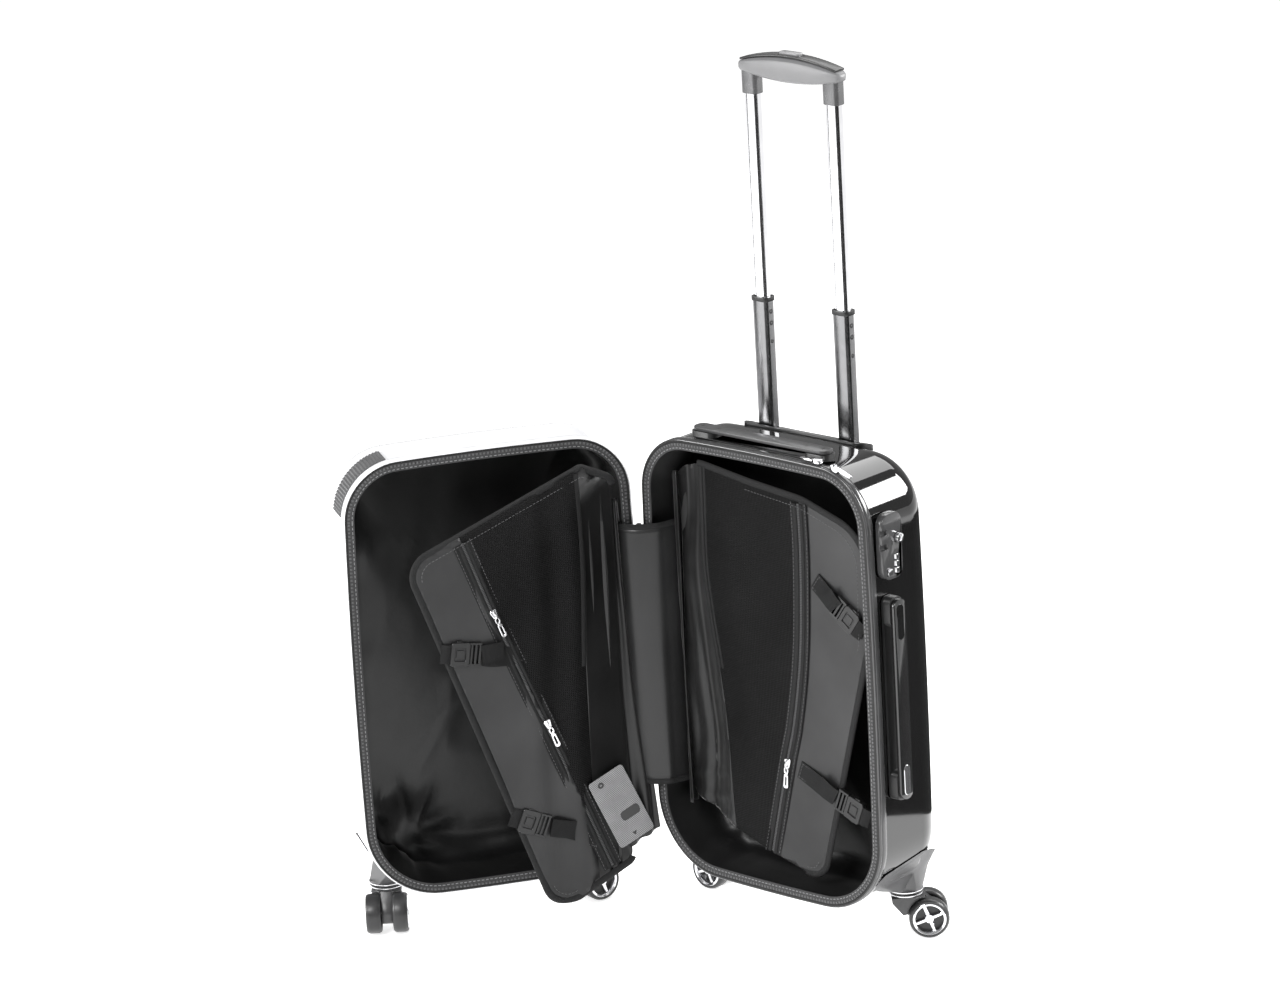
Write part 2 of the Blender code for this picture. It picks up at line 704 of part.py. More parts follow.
def add_side_handle(parent):
    low_z, high_z = SIDE_HANDLE_Z
    out = HINGE_OFFSET + SHELL_W + BULGE - LIP_STEP + GAP
    meshes = handle_parts(high_z - low_z, 0.0, (0.0028, 0.0120, 0.0123, 0.0175))
    spot = (out, HANDLE_V + 0.004, (low_z + high_z) / 2)
    add_node("side_handle_base", meshes[0], "matte_black", parent, spot)
    add_node("side_handle", meshes[1], "gloss_black", parent, spot)


def add_top_handle(parent):
    """The same handle laid along the top: its X is up and its Z is across."""
    up = SHELL_Z1 + BULGE - LIP_STEP + GAP
    meshes = handle_parts(TOP_HANDLE_LENGTH, 0.0, (0.0012, 0.0072, 0.0075, 0.0120))
    turn = Matrix.Rotation(math.radians(-90), 4, "Y")
    spot = (HINGE_OFFSET + MID_S, HANDLE_V, up)
    for name, mesh, look in zip(("top_handle_base", "top_handle"), meshes, ("matte_black", "gloss_black")):
        mesh.transform(turn)
        add_node(name, mesh, look, parent, spot)


# ---------------------------------------------------------------- lock and zip sliders

def add_lock(parent):
    side = HINGE_OFFSET + SHELL_W
    foot = side + BULGE - LIP_STEP + GAP
    face = side + LOCK_FACE
    width, height = LOCK_SIZE
    body = prism(rounded_rectangle(width, height, 0.012, 5, (LOCK_V, LOCK_Z)), "x", foot, face)
    dial_low, dial_high = DIAL_Z[-1] - 0.0038, DIAL_Z[0] + 0.0038
    floor = side + DIAL_AXIS - DIAL_R - 0.0005
    dial_well = box((floor, DIAL_V - 0.0054, dial_low), (face + 0.01, DIAL_V + 0.0054, dial_high))
    key_spot = (0.0385, 0.4800)
    key_well = rod(0.0056, side + 0.0055, face + 0.01, "x", centre=key_spot)
    button_spot = (0.0240, 0.4440)
    button_well = box((side + 0.0060, 0.0200, 0.4400), (face + 0.01, 0.0280, 0.4480))
    notches = []
    for z in (0.4890, 0.4730):
        notches.append(box((side + 0.0080, 0.0100, z - 0.0030), (face + 0.01, 0.0225, z + 0.0030)))
    lock = carve(body, cuts=[dial_well, key_well, button_well, *notches])
    add_node("lock_body", lock, "grey_plastic", parent)
    for number, z in enumerate(DIAL_Z, 1):
        dial = mesh_of(rod(DIAL_R, -0.0031, 0.0031, "z"))
        add_node("lock_dial_%d" % number, dial, "matte_black", parent, (side + DIAL_AXIS, DIAL_V, z))
    key = rod(0.0052, 0.0, 0.0110, "x")
    slot = box((0.0090, -0.0006, -0.0030), (0.0120, 0.0006, 0.0030))
    add_node("lock_key_cylinder", carve(key, cuts=[slot]), "chrome", parent, (side + 0.0058, *key_spot))
    plan = rounded_rectangle(0.0072, 0.0072, 0.0015, 2, button_spot)
    button = mesh_of(prism(plan, "x", side + 0.0080, face + 0.0016))
    add_node("lock_button", button, "chrome", parent)


def zip_slider_mesh(low, pull_side):
    """Slider standing at a height above its own origin, with its pull lying to one side."""
    body = prism(rounded_rectangle(0.0110, 0.0085, 0.002, 2), "z", low, low + 0.0045)
    tag = rounded_rectangle(0.0200, 0.0060, 0.0025, 2, (pull_side * 0.013, 0.0))
    return carve(body, unions=[prism(tag, "z", low + 0.0015, low + 0.0035)])


def add_zip_sliders(parent):
    """The two sliders of the case's zip, met where the top rim turns down into its corner."""
    corner = HINGE_OFFSET + SHELL_W - TOP_RADIUS
    turn = empty("zip_corner", parent, (corner, ZIP_V, SHELL_Z1 - TOP_RADIUS))
    turn.rotation_euler.y = math.radians(ZIP_TURN_DEG)
    add_node("zip_slider_1", zip_slider_mesh(TOP_RADIUS + 0.003, 1), "chrome", turn)
    spot = (corner - 0.006, ZIP_V, SHELL_Z1 + BULGE + 0.0008)
    add_node("zip_slider_2", zip_slider_mesh(0.0, -1), "chrome", parent, spot)


# ---------------------------------------------------------------- assembly

def centre_on_footprint(case):
    """Move the case so that the middle of its bounding box stands over the origin."""
    bpy.context.view_layer.update()
    corners = []
    for obj in bpy.data.objects:
        if obj.type == "MESH":
            corners += [obj.matrix_world @ vertex.co for vertex in obj.data.vertices]
    for axis in (0, 1):
        values = [corner[axis] for corner in corners]
        case.location[axis] = -(min(values) + max(values)) / 2


def build_case():
    clear_scene()
    case = empty("case")
    front = empty("front_hinge", case, (0, 0, 0), -OPEN_DEG)
    caster_meshes = {"fork": fork_mesh(), "wheels": wheel_set_mesh()}
    for half, parent in (("back", case), ("front", front)):
        add_shell(half, parent)
        add_zip_tape(half, parent)
        add_lining(half, parent)
        add_hinge_cover(half, parent)
        for corner in ("outer", "hinge"):
            add_caster(half + "_" + corner, parent, caster_meshes)
    add_node("hinge_tape", mesh_of(rod(0.0030, COVER_Z[0], COVER_Z[1], "z", 12)), "fabric_black", case)
    add_back_divider(case)
    add_front_divider(front)
    add_fixed_tubes(case)
    add_bezel(case)
    add_stages(case)
    add_grip(case)
    add_top_handle(case)
    add_side_handle(case)
    add_lock(case)
    add_zip_sliders(case)
    centre_on_footprint(case)


build_case()
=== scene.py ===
"""Looks of the cabin trolley case, standing open on its casters.

Local frames: each half has its own frame on the case hinge, with x across from the hinge, z up and
y into the back half. A divider's plane has its own (a, b, c): a across, b up, c towards the viewer.
"""
import json
import math

import bmesh
import bpy
from mathutils import Matrix, Vector, noise


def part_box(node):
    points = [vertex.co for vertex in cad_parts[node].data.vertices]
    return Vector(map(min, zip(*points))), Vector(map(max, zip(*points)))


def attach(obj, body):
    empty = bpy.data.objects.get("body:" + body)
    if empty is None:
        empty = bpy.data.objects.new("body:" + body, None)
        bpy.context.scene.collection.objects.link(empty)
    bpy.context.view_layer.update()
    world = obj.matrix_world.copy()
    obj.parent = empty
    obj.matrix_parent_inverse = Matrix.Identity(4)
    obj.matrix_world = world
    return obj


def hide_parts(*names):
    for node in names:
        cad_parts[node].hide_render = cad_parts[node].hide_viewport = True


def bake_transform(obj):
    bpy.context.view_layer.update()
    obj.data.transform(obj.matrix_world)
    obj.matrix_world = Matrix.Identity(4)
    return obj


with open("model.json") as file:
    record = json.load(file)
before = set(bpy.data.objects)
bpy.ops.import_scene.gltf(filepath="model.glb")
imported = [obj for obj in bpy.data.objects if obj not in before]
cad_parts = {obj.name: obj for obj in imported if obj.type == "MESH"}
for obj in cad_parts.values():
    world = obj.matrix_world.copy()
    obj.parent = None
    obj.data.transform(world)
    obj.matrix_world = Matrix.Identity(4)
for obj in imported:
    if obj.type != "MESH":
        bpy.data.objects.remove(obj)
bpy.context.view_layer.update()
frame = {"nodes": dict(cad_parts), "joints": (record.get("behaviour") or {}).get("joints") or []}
JOINTS = {joint["name"]: joint for joint in frame["joints"]}

# The shells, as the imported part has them, in metres
HINGE = Vector(JOINTS["case_hinge"]["pos_m"]) * Vector((1, 1, 0))
OPEN = math.radians(JOINTS["case_hinge"]["range_deg"][1])
WIDTH, Z0, Z1 = 0.324, 0.050, 0.554
TOP_RADIUS, BOTTOM_RADIUS, EDGE_RADIUS = 0.062, 0.082, 0.038
BULGE, WALL, HINGE_OFFSET = 0.004, 0.0028, 0.008
DEPTH = {"back": 0.114, "front": 0.106}
SIDE = {"back": 1.0, "front": -1.0}
TOOTH_PITCH, RIM_STITCH_PITCH, COIL_PITCH, STITCH_PITCH = 0.0042, 0.0050, 0.0019, 0.0045
SATIN_THICK, COATED_THICK, THIN = 0.0008, 0.0012, 0.0006
LINING_FLOOR = {"back": 0.086, "front": 0.0985}
PANEL_SWING, PANEL_OUT, PANEL_HALF = math.radians(8), 0.0115, 0.0015
BACK_PANEL_V = 0.022
COVER_Z = (0.147, 0.448)

BACK = Matrix.Translation(HINGE)
FRONT = BACK @ Matrix.Rotation(-OPEN, 4, "Z")
HALF = {"back": BACK, "front": FRONT}
FRONT_PLANE = FRONT @ Matrix.Rotation(PANEL_SWING, 4, "Z") @ Matrix(
    ((1, 0, 0, 0), (0, 0, 1, PANEL_OUT), (0, 1, 0, 0), (0, 0, 0, 1)))
BACK_PLANE = BACK @ Matrix(((1, 0, 0, 0), (0, 0, -1, BACK_PANEL_V), (0, 1, 0, 0), (0, 0, 0, 1)))


# ---------------------------------------------------------------- materials

LOOKS = {}


def look(name, value, rough, metal=0.0, vary=0.15, rough_vary=0.1, size=40.0, bump=None, **sockets):
    """A grey of a value, cloudy in colour and roughness. bump is (pattern, scale, strength, depth)."""
    base = (value, value, value * 1.02)
    made = bpy.data.materials.new(name)
    made.use_nodes = True
    nodes, links = made.node_tree.nodes, made.node_tree.links
    shader = nodes["Principled BSDF"]
    shader.inputs["Metallic"].default_value = metal
    for key, value in sockets.items():
        shader.inputs[key.replace("_", " ")].default_value = value
    where = nodes.new("ShaderNodeTexCoord").outputs["Object"]
    cloud = nodes.new("ShaderNodeTexNoise")
    cloud.inputs["Scale"].default_value = size
    cloud.inputs["Detail"].default_value = 5.0
    links.new(where, cloud.inputs["Vector"])
    ramp = nodes.new("ShaderNodeValToRGB")
    for stop, share, at in zip(ramp.color_ramp.elements, (1 - vary, 1 + vary), (0.3, 0.7)):
        stop.color = (*(min(1.0, c * share) for c in base), 1.0)
        stop.position = at
    links.new(cloud.outputs["Fac"], ramp.inputs["Fac"])
    colour = ramp.outputs["Color"]
    span = nodes.new("ShaderNodeMapRange")
    span.inputs["To Min"].default_value = max(0.02, rough - rough_vary)
    span.inputs["To Max"].default_value = min(1.0, rough + rough_vary)
    links.new(cloud.outputs["Fac"], span.inputs["Value"])
    links.new(span.outputs["Result"], shader.inputs["Roughness"])
    if bump:
        kind, scale, strength, depth = bump
        height, tint = pattern(nodes, links, where, kind, scale)
        if tint:
            mix = nodes.new("ShaderNodeMix")
            mix.data_type, mix.blend_type = "RGBA", "MULTIPLY"
            mix.inputs["Factor"].default_value = tint
            links.new(colour, mix.inputs[6])
            links.new(height, mix.inputs[7])
            colour = mix.outputs[2]
        relief = nodes.new("ShaderNodeBump")
        relief.inputs["Strength"].default_value = strength
        relief.inputs["Distance"].default_value = depth
        links.new(height, relief.inputs["Height"])
        links.new(relief.outputs["Normal"], shader.inputs["Normal"])
    links.new(colour, shader.inputs["Base Color"])
    LOOKS[name] = made


def pattern(nodes, links, where, kind, scale):
    """Height of a surface pattern, and how far it also tints the colour."""
    if kind in ("weave", "net"):
        uv = nodes.new("ShaderNodeUVMap").outputs["UV"]
        waves = []
        for axis in ("X", "Y"):
            wave = nodes.new("ShaderNodeTexWave")
            wave.bands_direction = axis
            wave.inputs["Scale"].default_value = scale
            wave.inputs["Distortion"].default_value = 0.4
            links.new(uv, wave.inputs["Vector"])
            waves.append(wave.outputs["Fac"])
        join = nodes.new("ShaderNodeMath")
        join.operation = "MULTIPLY" if kind == "net" else "MAXIMUM"
        links.new(waves[0], join.inputs[0])
        links.new(waves[1], join.inputs[1])
        return join.outputs["Value"], 0.75 if kind == "net" else 0.35
    if kind == "leather":
        cells = nodes.new("ShaderNodeTexVoronoi")
        cells.feature = "SMOOTH_F1"
        cells.inputs["Scale"].default_value = scale
        links.new(where, cells.inputs["Vector"])
        return cells.outputs["Distance"], 0.0
    grain = nodes.new("ShaderNodeTexNoise")
    grain.inputs["Scale"].default_value = scale
    grain.inputs["Detail"].default_value = 3.0
    if kind == "brushed":
        stretch = nodes.new("ShaderNodeMapping")
        stretch.inputs["Scale"].default_value = (1.0, 1.0, 0.02)
        links.new(where, stretch.inputs["Vector"])
        where = stretch.outputs["Vector"]
    links.new(where, grain.inputs["Vector"])
    return grain.outputs["Fac"], 0.0


look("black_gloss", 0.004, 0.06, vary=0.2, rough_vary=0.03, size=9, bump=("grain", 700, 0.03, 0.0002),
     Coat_Weight=0.5, Coat_Roughness=0.03)
look("white_gloss", 0.84, 0.2, vary=0.03, rough_vary=0.06, size=12, bump=("grain", 900, 0.12, 0.0003),
     Coat_Weight=0.4, Coat_Roughness=0.08)
# Lighter grey for the back shell's rim band: a painted reflection of the light along the lip.
look("rim_band_painted_reflection", 0.05, 0.16, rough_vary=0.04, bump=("grain", 900, 0.05, 0.0002), Coat_Weight=0.5,
     Coat_Roughness=0.05)
look("light_bead", 0.78, 0.2, rough_vary=0.05, bump=("grain", 900, 0.05, 0.0002))
# Near-black strip for the gap between the shell's edge and the zip tape: painted shade.
look("gasket", 0.004, 0.5, rough_vary=0.1, bump=("grain", 1200, 0.1, 0.0002))
look("rim_cloth", 0.045, 0.7, size=300, bump=("weave", 300, 0.7, 0.0004))
look("zip_tape", 0.02, 0.75, size=300, bump=("weave", 700, 0.5, 0.0003))
look("zip_teeth", 0.085, 0.4, size=600, bump=("grain", 2500, 0.2, 0.0002))
look("light_thread", 0.22, 0.6, size=900, bump=("grain", 3000, 0.3, 0.0001))
# The lining's strong cloud of lighter and darker colour is painted sheen, standing for the satin's lit and
# shaded patches.
look("lining", 0.008, 0.36, vary=0.7, rough_vary=0.12, size=7, bump=("grain", 160, 0.1, 0.001),
     Sheen_Weight=0.12, Sheen_Roughness=0.35, Anisotropic=0.4, Specular_IOR_Level=0.45)
look("satin_panel", 0.009, 0.4, vary=0.5, rough_vary=0.08, size=25, bump=("grain", 160, 0.1, 0.001),
     Sheen_Weight=0.3, Sheen_Roughness=0.35)
look("coated", 0.028, 0.42, vary=0.4, rough_vary=0.09, size=8, bump=("leather", 1300, 0.12, 0.0003),
     Specular_IOR_Level=0.38)
look("cover_cloth", 0.015, 0.36, vary=0.35, rough_vary=0.08, size=10, bump=("leather", 1300, 0.12, 0.0003))
look("net", 0.01, 0.6, vary=0.5, size=12, bump=("net", 150, 1.0, 0.0009), Specular_IOR_Level=0.18)
look("binding", 0.016, 0.6, size=200, bump=("weave", 600, 0.6, 0.0003), Specular_IOR_Level=0.25)
look("webbing", 0.012, 0.62, size=200, bump=("weave", 420, 0.8, 0.0004), Specular_IOR_Level=0.25)
look("thread", 0.1, 0.7, size=900, bump=("grain", 3000, 0.3, 0.0001))
look("black_plastic", 0.012, 0.34, rough_vary=0.08, size=60, bump=("grain", 1500, 0.15, 0.0002))
look("handle_plastic", 0.04, 0.3, rough_vary=0.06, size=60, bump=("grain", 1200, 0.25, 0.0003))
look("handle_gloss", 0.01, 0.12, rough_vary=0.05, size=60, bump=("grain", 1200, 0.05, 0.0002),
     Coat_Weight=0.5, Coat_Roughness=0.05)
look("grey_plastic", 0.085, 0.38, rough_vary=0.08, size=50, bump=("grain", 1300, 0.25, 0.0003))
look("fork_plastic", 0.055, 0.3, rough_vary=0.08, size=50, bump=("grain", 1300, 0.15, 0.0003))
look("guard_grey", 0.1, 0.45, rough_vary=0.08, size=50, bump=("grain", 1300, 0.2, 0.0003))
look("lock_plastic", 0.045, 0.22, rough_vary=0.05, size=80, bump=("grain", 1500, 0.1, 0.0002),
     Coat_Weight=0.4, Coat_Roughness=0.05)
look("button_grey", 0.22, 0.35, rough_vary=0.06, size=80, bump=("grain", 1500, 0.1, 0.0002))
look("tyre", 0.03, 0.35, rough_vary=0.1, size=80, bump=("grain", 1200, 0.2, 0.0003))
look("chrome", 0.86, 0.12, 1.0, vary=0.04, rough_vary=0.04, size=60, bump=("grain", 2000, 0.03, 0.0001))
look("tube_chrome", 0.8, 0.12, 1.0, vary=0.05, rough_vary=0.04, size=60, bump=("brushed", 900, 0.04, 0.0002))
look("tube_dark", 0.2, 0.2, 1.0, vary=0.1, rough_vary=0.05, size=60, bump=("brushed", 900, 0.06, 0.0002))
look("sleeve_grey", 0.14, 0.26, 0.6, vary=0.1, rough_vary=0.05, size=60, bump=("grain", 1500, 0.1, 0.0002))
look("grip_grey", 0.17, 0.4, vary=0.06, rough_vary=0.06, size=50, bump=("grain", 1500, 0.2, 0.0002))
look("card", 0.55, 0.45, vary=0.1, size=60, bump=("net", 180, 0.6, 0.0003))
look("dark_window", 0.02, 0.3, size=60, bump=("grain", 900, 0.1, 0.0002))


# ---------------------------------------------------------------- shapes

def clamp(value):
    """A value held between 0 and 1."""
    return min(1.0, max(0.0, value))


def loft(rings, closed=False, caps=True, round_ring=True):
    """(points, faces) of bands between equal rings."""
    count = len(rings[0])
    points = [tuple(p) for ring in rings for p in ring]
    faces = []
    for i in range(len(rings) if closed else len(rings) - 1):
        low, high = i * count, (i + 1) % len(rings) * count
        for k in range(count if round_ring else count - 1):
            n = (k + 1) % count
            faces.append((low + k, low + n, high + n, high + k))
    if caps and not closed:
        faces.append(tuple(range(count))[::-1])
        faces.append(tuple(range((len(rings) - 1) * count, len(rings) * count)))
    return points, faces


def join(*shapes):
    """Several shapes as one."""
    points, faces = [], []
    for more, shape_faces in shapes:
        start = len(points)
        points += more
        faces += [tuple(start + i for i in face) for face in shape_faces]
    return points, faces


def moved(shape, matrix):
    """A shape carried by a matrix."""
    return [tuple(matrix @ Vector(p)) for p in shape[0]], shape[1]


def rounded(corners, steps=6):
    """Points round a polygon whose corners are (x, y, radius)."""
    points = []
    for i, (x, y, radius) in enumerate(corners):
        here = Vector((x, y))
        back = (Vector(corners[i - 1][:2]) - here).normalized()
        ahead = (Vector(corners[(i + 1) % len(corners)][:2]) - here).normalized()
        half = back.angle(ahead) / 2
        centre = here + (back + ahead).normalized() * (radius / math.sin(half))
        start = here + back * (radius / math.tan(half)) - centre
        sweep = math.copysign(math.pi - 2 * half, start.y * back.x - start.x * back.y)
        points += [centre + Matrix.Rotation(sweep * k / steps, 2) @ start for k in range(steps + 1)]
    return points


def rectangle(width, height, radius, centre=(0, 0), steps=4):
    a, b = width / 2, height / 2
    corners = [(centre[0] + i * a, centre[1] + j * b, radius)
               for i, j in ((1, 1), (-1, 1), (-1, -1), (1, -1))]
    return rounded(corners, steps)


def offset(points, distance):
    """A closed outline moved in by distance."""
    area = sum(p.x * q.y - q.x * p.y for p, q in zip(points, points[1:] + points[:1]))
    turn = 1 if area > 0 else -1
    result = []
    for i, p in enumerate(points):
        along = (points[(i + 1) % len(points)] - points[i - 1]).normalized()
        result.append(p + Vector((-along.y, along.x)) * distance * turn)
    return result


def laid(at, along, height):
    """Places a part at a point of a plane, with its x along a direction."""
    return Matrix.Translation((at.x, at.y, height)) @ Matrix.Rotation(math.atan2(along.y, along.x), 4, "Z")


def slab(outline, low, high, ease=0.0006):
    """A plate on an (x, y) outline, its edges eased."""
    small = offset(outline, ease)
    rings = [(small, low), (outline, low + ease), (outline, high - ease), (small, high)]
    return loft([[(p.x, p.y, z) for p in ring] for ring, z in rings])


def frame_slab(outer, inner, low, high, ease=0.0005):
    """A plate with a hole."""
    levels = ((outer, 0, low + ease), (outer, 0, high - ease), (outer, ease, high), (inner, -ease, high),
              (inner, 0, high - ease), (inner, 0, low + ease), (inner, -ease, low), (outer, ease, low))
    return loft([[(p.x, p.y, z) for p in offset(ring, d)] for ring, d, z in levels], closed=True)


def turned(profile, steps=48, closed=False):
    """(radius, height) profile turned about Z."""
    rings = []
    for radius, height in profile:
        rings.append([(radius * math.cos(a), radius * math.sin(a), height)
                      for a in (2 * math.pi * k / steps for k in range(steps))])
    return loft(rings, closed=closed)


def sweep(path, section, up, closed=False):
    """A section of (across, up) points carried along a path; up is one direction or one per point."""
    rings = []
    for i, p in enumerate(path):
        ahead = path[(i + 1) % len(path)] if closed or i + 1 < len(path) else p
        behind = path[i - 1] if closed or i else p
        along = (Vector(ahead) - Vector(behind)).normalized()
        rise = Vector(up[i] if isinstance(up, list) else up)
        across = along.cross(rise).normalized()
        rise = across.cross(along)
        rings.append([Vector(p) + across * s + rise * t for s, t in section])
    return loft(rings, closed=closed)


def oval(width, height, steps=10):
    """Points of an oval section."""
    return [(width / 2 * math.cos(2 * math.pi * k / steps), height / 2 * math.sin(2 * math.pi * k / steps))
            for k in range(steps)]


def curve_through(points, steps=8):
    """Smooth open path through a few points."""
    points = [Vector(p) for p in points]
    path = []
    for i in range(len(points) - 1):
        before, a = points[max(i - 1, 0)], points[i]
        b, after = points[i + 1], points[min(i + 2, len(points) - 1)]
        for k in range(steps):
            t = k / steps
            path.append(0.5 * (2 * a + (b - before) * t + (2 * before - 5 * a + 4 * b - after) * t * t
                               + (3 * a - before - 3 * b + after) * t ** 3))
    return path + [points[-1]]


def cloth(outline, step, height, keep=()):
    """A flat cut of cloth on a grid, cut along lines (point, outward direction), raised by height(a, b)."""
    bm = bmesh.new()
    bm.faces.new([bm.verts.new((p[0], p[1], 0)) for p in outline])

    def cut(at, direction, clear=False):
        everything = bm.verts[:] + bm.edges[:] + bm.faces[:]
        bmesh.ops.bisect_plane(bm, geom=everything, plane_co=(*at, 0), plane_no=(*direction, 0),
                               clear_outer=clear)

    for at, direction in keep:
        cut(at, direction, True)
    for axis in (0, 1):
        values = [v.co[axis] for v in bm.verts]
        for k in range(math.ceil(min(values) / step), math.floor(max(values) / step) + 1):
            at = [0.0, 0.0]
            at[axis] = k * step
            cut(at, (1, 0) if axis == 0 else (0, 1))
    bm.verts.index_update()
    points = [(v.co.x, v.co.y, height(v.co.x, v.co.y)) for v in bm.verts]
    faces = [tuple(v.index for v in face.verts) for face in bm.faces]
    bm.free()
    return points, faces


def piece(name, shape, material, body, slot, matrix=None, stands_for=(), smooth=40.0, thick=0.0,
          uv=None, blend=None):
    """One object of the model. uv maps a point, before it is placed, to metres over its surface."""
    points, faces = shape
    mesh = bpy.data.meshes.new(name)
    mesh.from_pydata(points, [], faces)
    layer = mesh.uv_layers.new(name="UVMap")
    uv = uv or (lambda p: (p[0], p[1]))
    for loop in mesh.loops:
        layer.data[loop.index].uv = uv(points[loop.vertex_index])
    bm = bmesh.new()
    bm.from_mesh(mesh)
    bmesh.ops.recalc_face_normals(bm, faces=bm.faces)
    if matrix:
        bmesh.ops.transform(bm, matrix=matrix, verts=bm.verts)
        if matrix.determinant() < 0:
            bmesh.ops.reverse_faces(bm, faces=bm.faces)
    bm.to_mesh(mesh)
    bm.free()
    materials = material if isinstance(material, (list, tuple)) else [material]
    for each in materials:
        mesh.materials.append(LOOKS[each])
    mesh.shade_smooth()
    mesh.set_sharp_from_angle(angle=math.radians(smooth))
    obj = bpy.data.objects.new(name, mesh)
    bpy.context.scene.collection.objects.link(obj)
    if blend:
        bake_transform(obj)
    else:
        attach(obj, body)
    if thick:
        solid = obj.modifiers.new("thickness", "SOLIDIFY")
        solid.thickness, solid.offset = thick, 0.0
    if stands_for:
        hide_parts(*stands_for)
    return obj


def polished(node, material, slot, body, ease=0.0006, sharp=28.0, warp=None):
    """A finer copy of a CAD node, with eased edges and smooth sides, that stands for it."""
    bm = bmesh.new()
    bm.from_mesh(frame["nodes"][node].data)
    bmesh.ops.remove_doubles(bm, verts=bm.verts, dist=2e-5)
    bmesh.ops.dissolve_limit(bm, angle_limit=math.radians(1), verts=bm.verts, edges=bm.edges)
    edges = [e for e in bm.edges if e.is_manifold and e.calc_face_angle() > math.radians(sharp)]
    if ease:
        bmesh.ops.bevel(bm, geom=edges, offset=ease, segments=2, profile=0.5, affect="EDGES",
                        clamp_overlap=True)
    if warp:
        bmesh.ops.triangulate(bm, faces=[f for f in bm.faces if len(f.verts) > 4])
        for v in bm.verts:
            v.co = warp(v.co)
    bm.verts.index_update()
    shape = [tuple(v.co) for v in bm.verts], [tuple(v.index for v in f.verts) for f in bm.faces]
    bm.free()
    return piece(node + "_finish", shape, material, body, slot, stands_for=[node], smooth=sharp + 12)


# ---------------------------------------------------------------- shells, rims and linings

def outline(inset, corner=14, long_steps=20, short_steps=12):
    """Outline of a shell, moved in by inset, in its half's (x, z)."""
    left, right, low, high = inset, WIDTH - inset, Z0 + inset, Z1 - inset
    top, bottom = TOP_RADIUS - inset, BOTTOM_RADIUS - inset
    corners = ((right - top, high - top, 0, top), (left + top, high - top, 90, top),
               (left + bottom, low + bottom, 180, bottom), (right - bottom, low + bottom, 270, bottom))
    points = []
    for i, (cs, cz, start, radius) in enumerate(corners):
        for k in range(corner + 1):
            angle = math.radians(start + 90 * k / corner)
            points.append(Vector((cs + radius * math.cos(angle), cz + radius * math.sin(angle))))
        ns, nz, _, next_radius = corners[(i + 1) % 4]
        angle = math.radians(start + 90)
        end = Vector((ns + next_radius * math.cos(angle), nz + next_radius * math.sin(angle)))
        begin, steps = points[-1], long_steps if i % 2 else short_steps
        points += [begin.lerp(end, k / steps) for k in range(1, steps)]
    result = []
    for s, z in points:
        across = (s - WIDTH / 2) / (WIDTH / 2)
        up = (z - (Z0 + Z1) / 2) / ((Z1 - Z0) / 2)
        result.append((HINGE_OFFSET + s + BULGE * (1 - up * up) * across,
                       z + BULGE * (1 - across * across) * up))
    return result


def ring(half, inset, v):
    return [(x, SIDE[half] * v, z) for x, z in outline(inset)]


def arc(inset, v, radius, steps=12):
    angles = [math.pi / 2 * k / steps for k in range(1, steps + 1)]
    return [(inset + radius * (1 - math.cos(a)), v + radius * math.sin(a)) for a in angles]


def add_shell(half, material):
    """The hard shell, with a beaded rim and the band beside it."""
    spring = DEPTH[half] - EDGE_RADIUS
    rim = [(0.0016, 0.0004), (0.0006, 0.0010), (0.0001, 0.0022), (0.0004, 0.0036), (0.0012, 0.0041),
           (0.0005, 0.0046), (0.0, 0.0056), (0.0, 0.0104), (0.0008, 0.0118), (0.0015, 0.0125)]
    outer = rim[::-1]
    flat = [0.0130, 0.0136, 0.0150, 0.0220, 0.0400, spring - 0.0030, spring - 0.0006]
    outer = [(0.0015, v) for v in flat[::-1]] + outer
    outer = ([(0.0015, spring)] + arc(0.0015, spring, EDGE_RADIUS, 16))[::-1] + outer
    inner = [(0.0028, 0.0006), (0.0030, 0.0100), (0.0043, 0.0130), (0.0043, spring)]
    inner += arc(0.0043, spring, EDGE_RADIUS - WALL)
    shape = loft([ring(half, inset, v) for inset, v in outer + inner])
    # The back shell's rim faces take the lighter grey of a painted reflection.
    beads = "light_bead" if half == "front" else "rim_band_painted_reflection"
    shell = piece(half + "_shell_finish", shape, [material, beads], half + "_half", half + "_shell_plastic",
                  HALF[half], [half + "_shell"], smooth=50)
    bead_faces = len(ring(half, 0, 0))
    first = (len(outer) - len(rim)) * bead_faces
    for index in range(first, first + (len(rim) + 1) * bead_faces):
        shell.data.polygons[index].material_index = 1


def resampled(path, pitch):
    """Points at an even pitch along a closed path, with the direction there."""
    points = [Vector(p) for p in path]
    points.append(points[0])
    result, carry = [], 0.0
    for a, b in zip(points, points[1:]):
        length = (b - a).length
        while carry < length:
            result.append((a.lerp(b, carry / length), (b - a).normalized()))
            carry += pitch
        carry -= length
    return result


def teeth(path, width, long, tall, up):
    """Zip teeth: small eased blocks across a path."""
    parts = []
    for at, along in path:
        across = along.cross(up).normalized()
        rings = []
        for share, height in ((1.0, 0.0), (0.95, 0.6 * tall), (0.6, tall)):
            rings.append([at + along * i * long * share / 2 + across * j * width * share / 2 + up * height
                          for i, j in ((1, 1), (-1, 1), (-1, -1), (1, -1))])
        parts.append(loft(rings))
    return join(*parts)


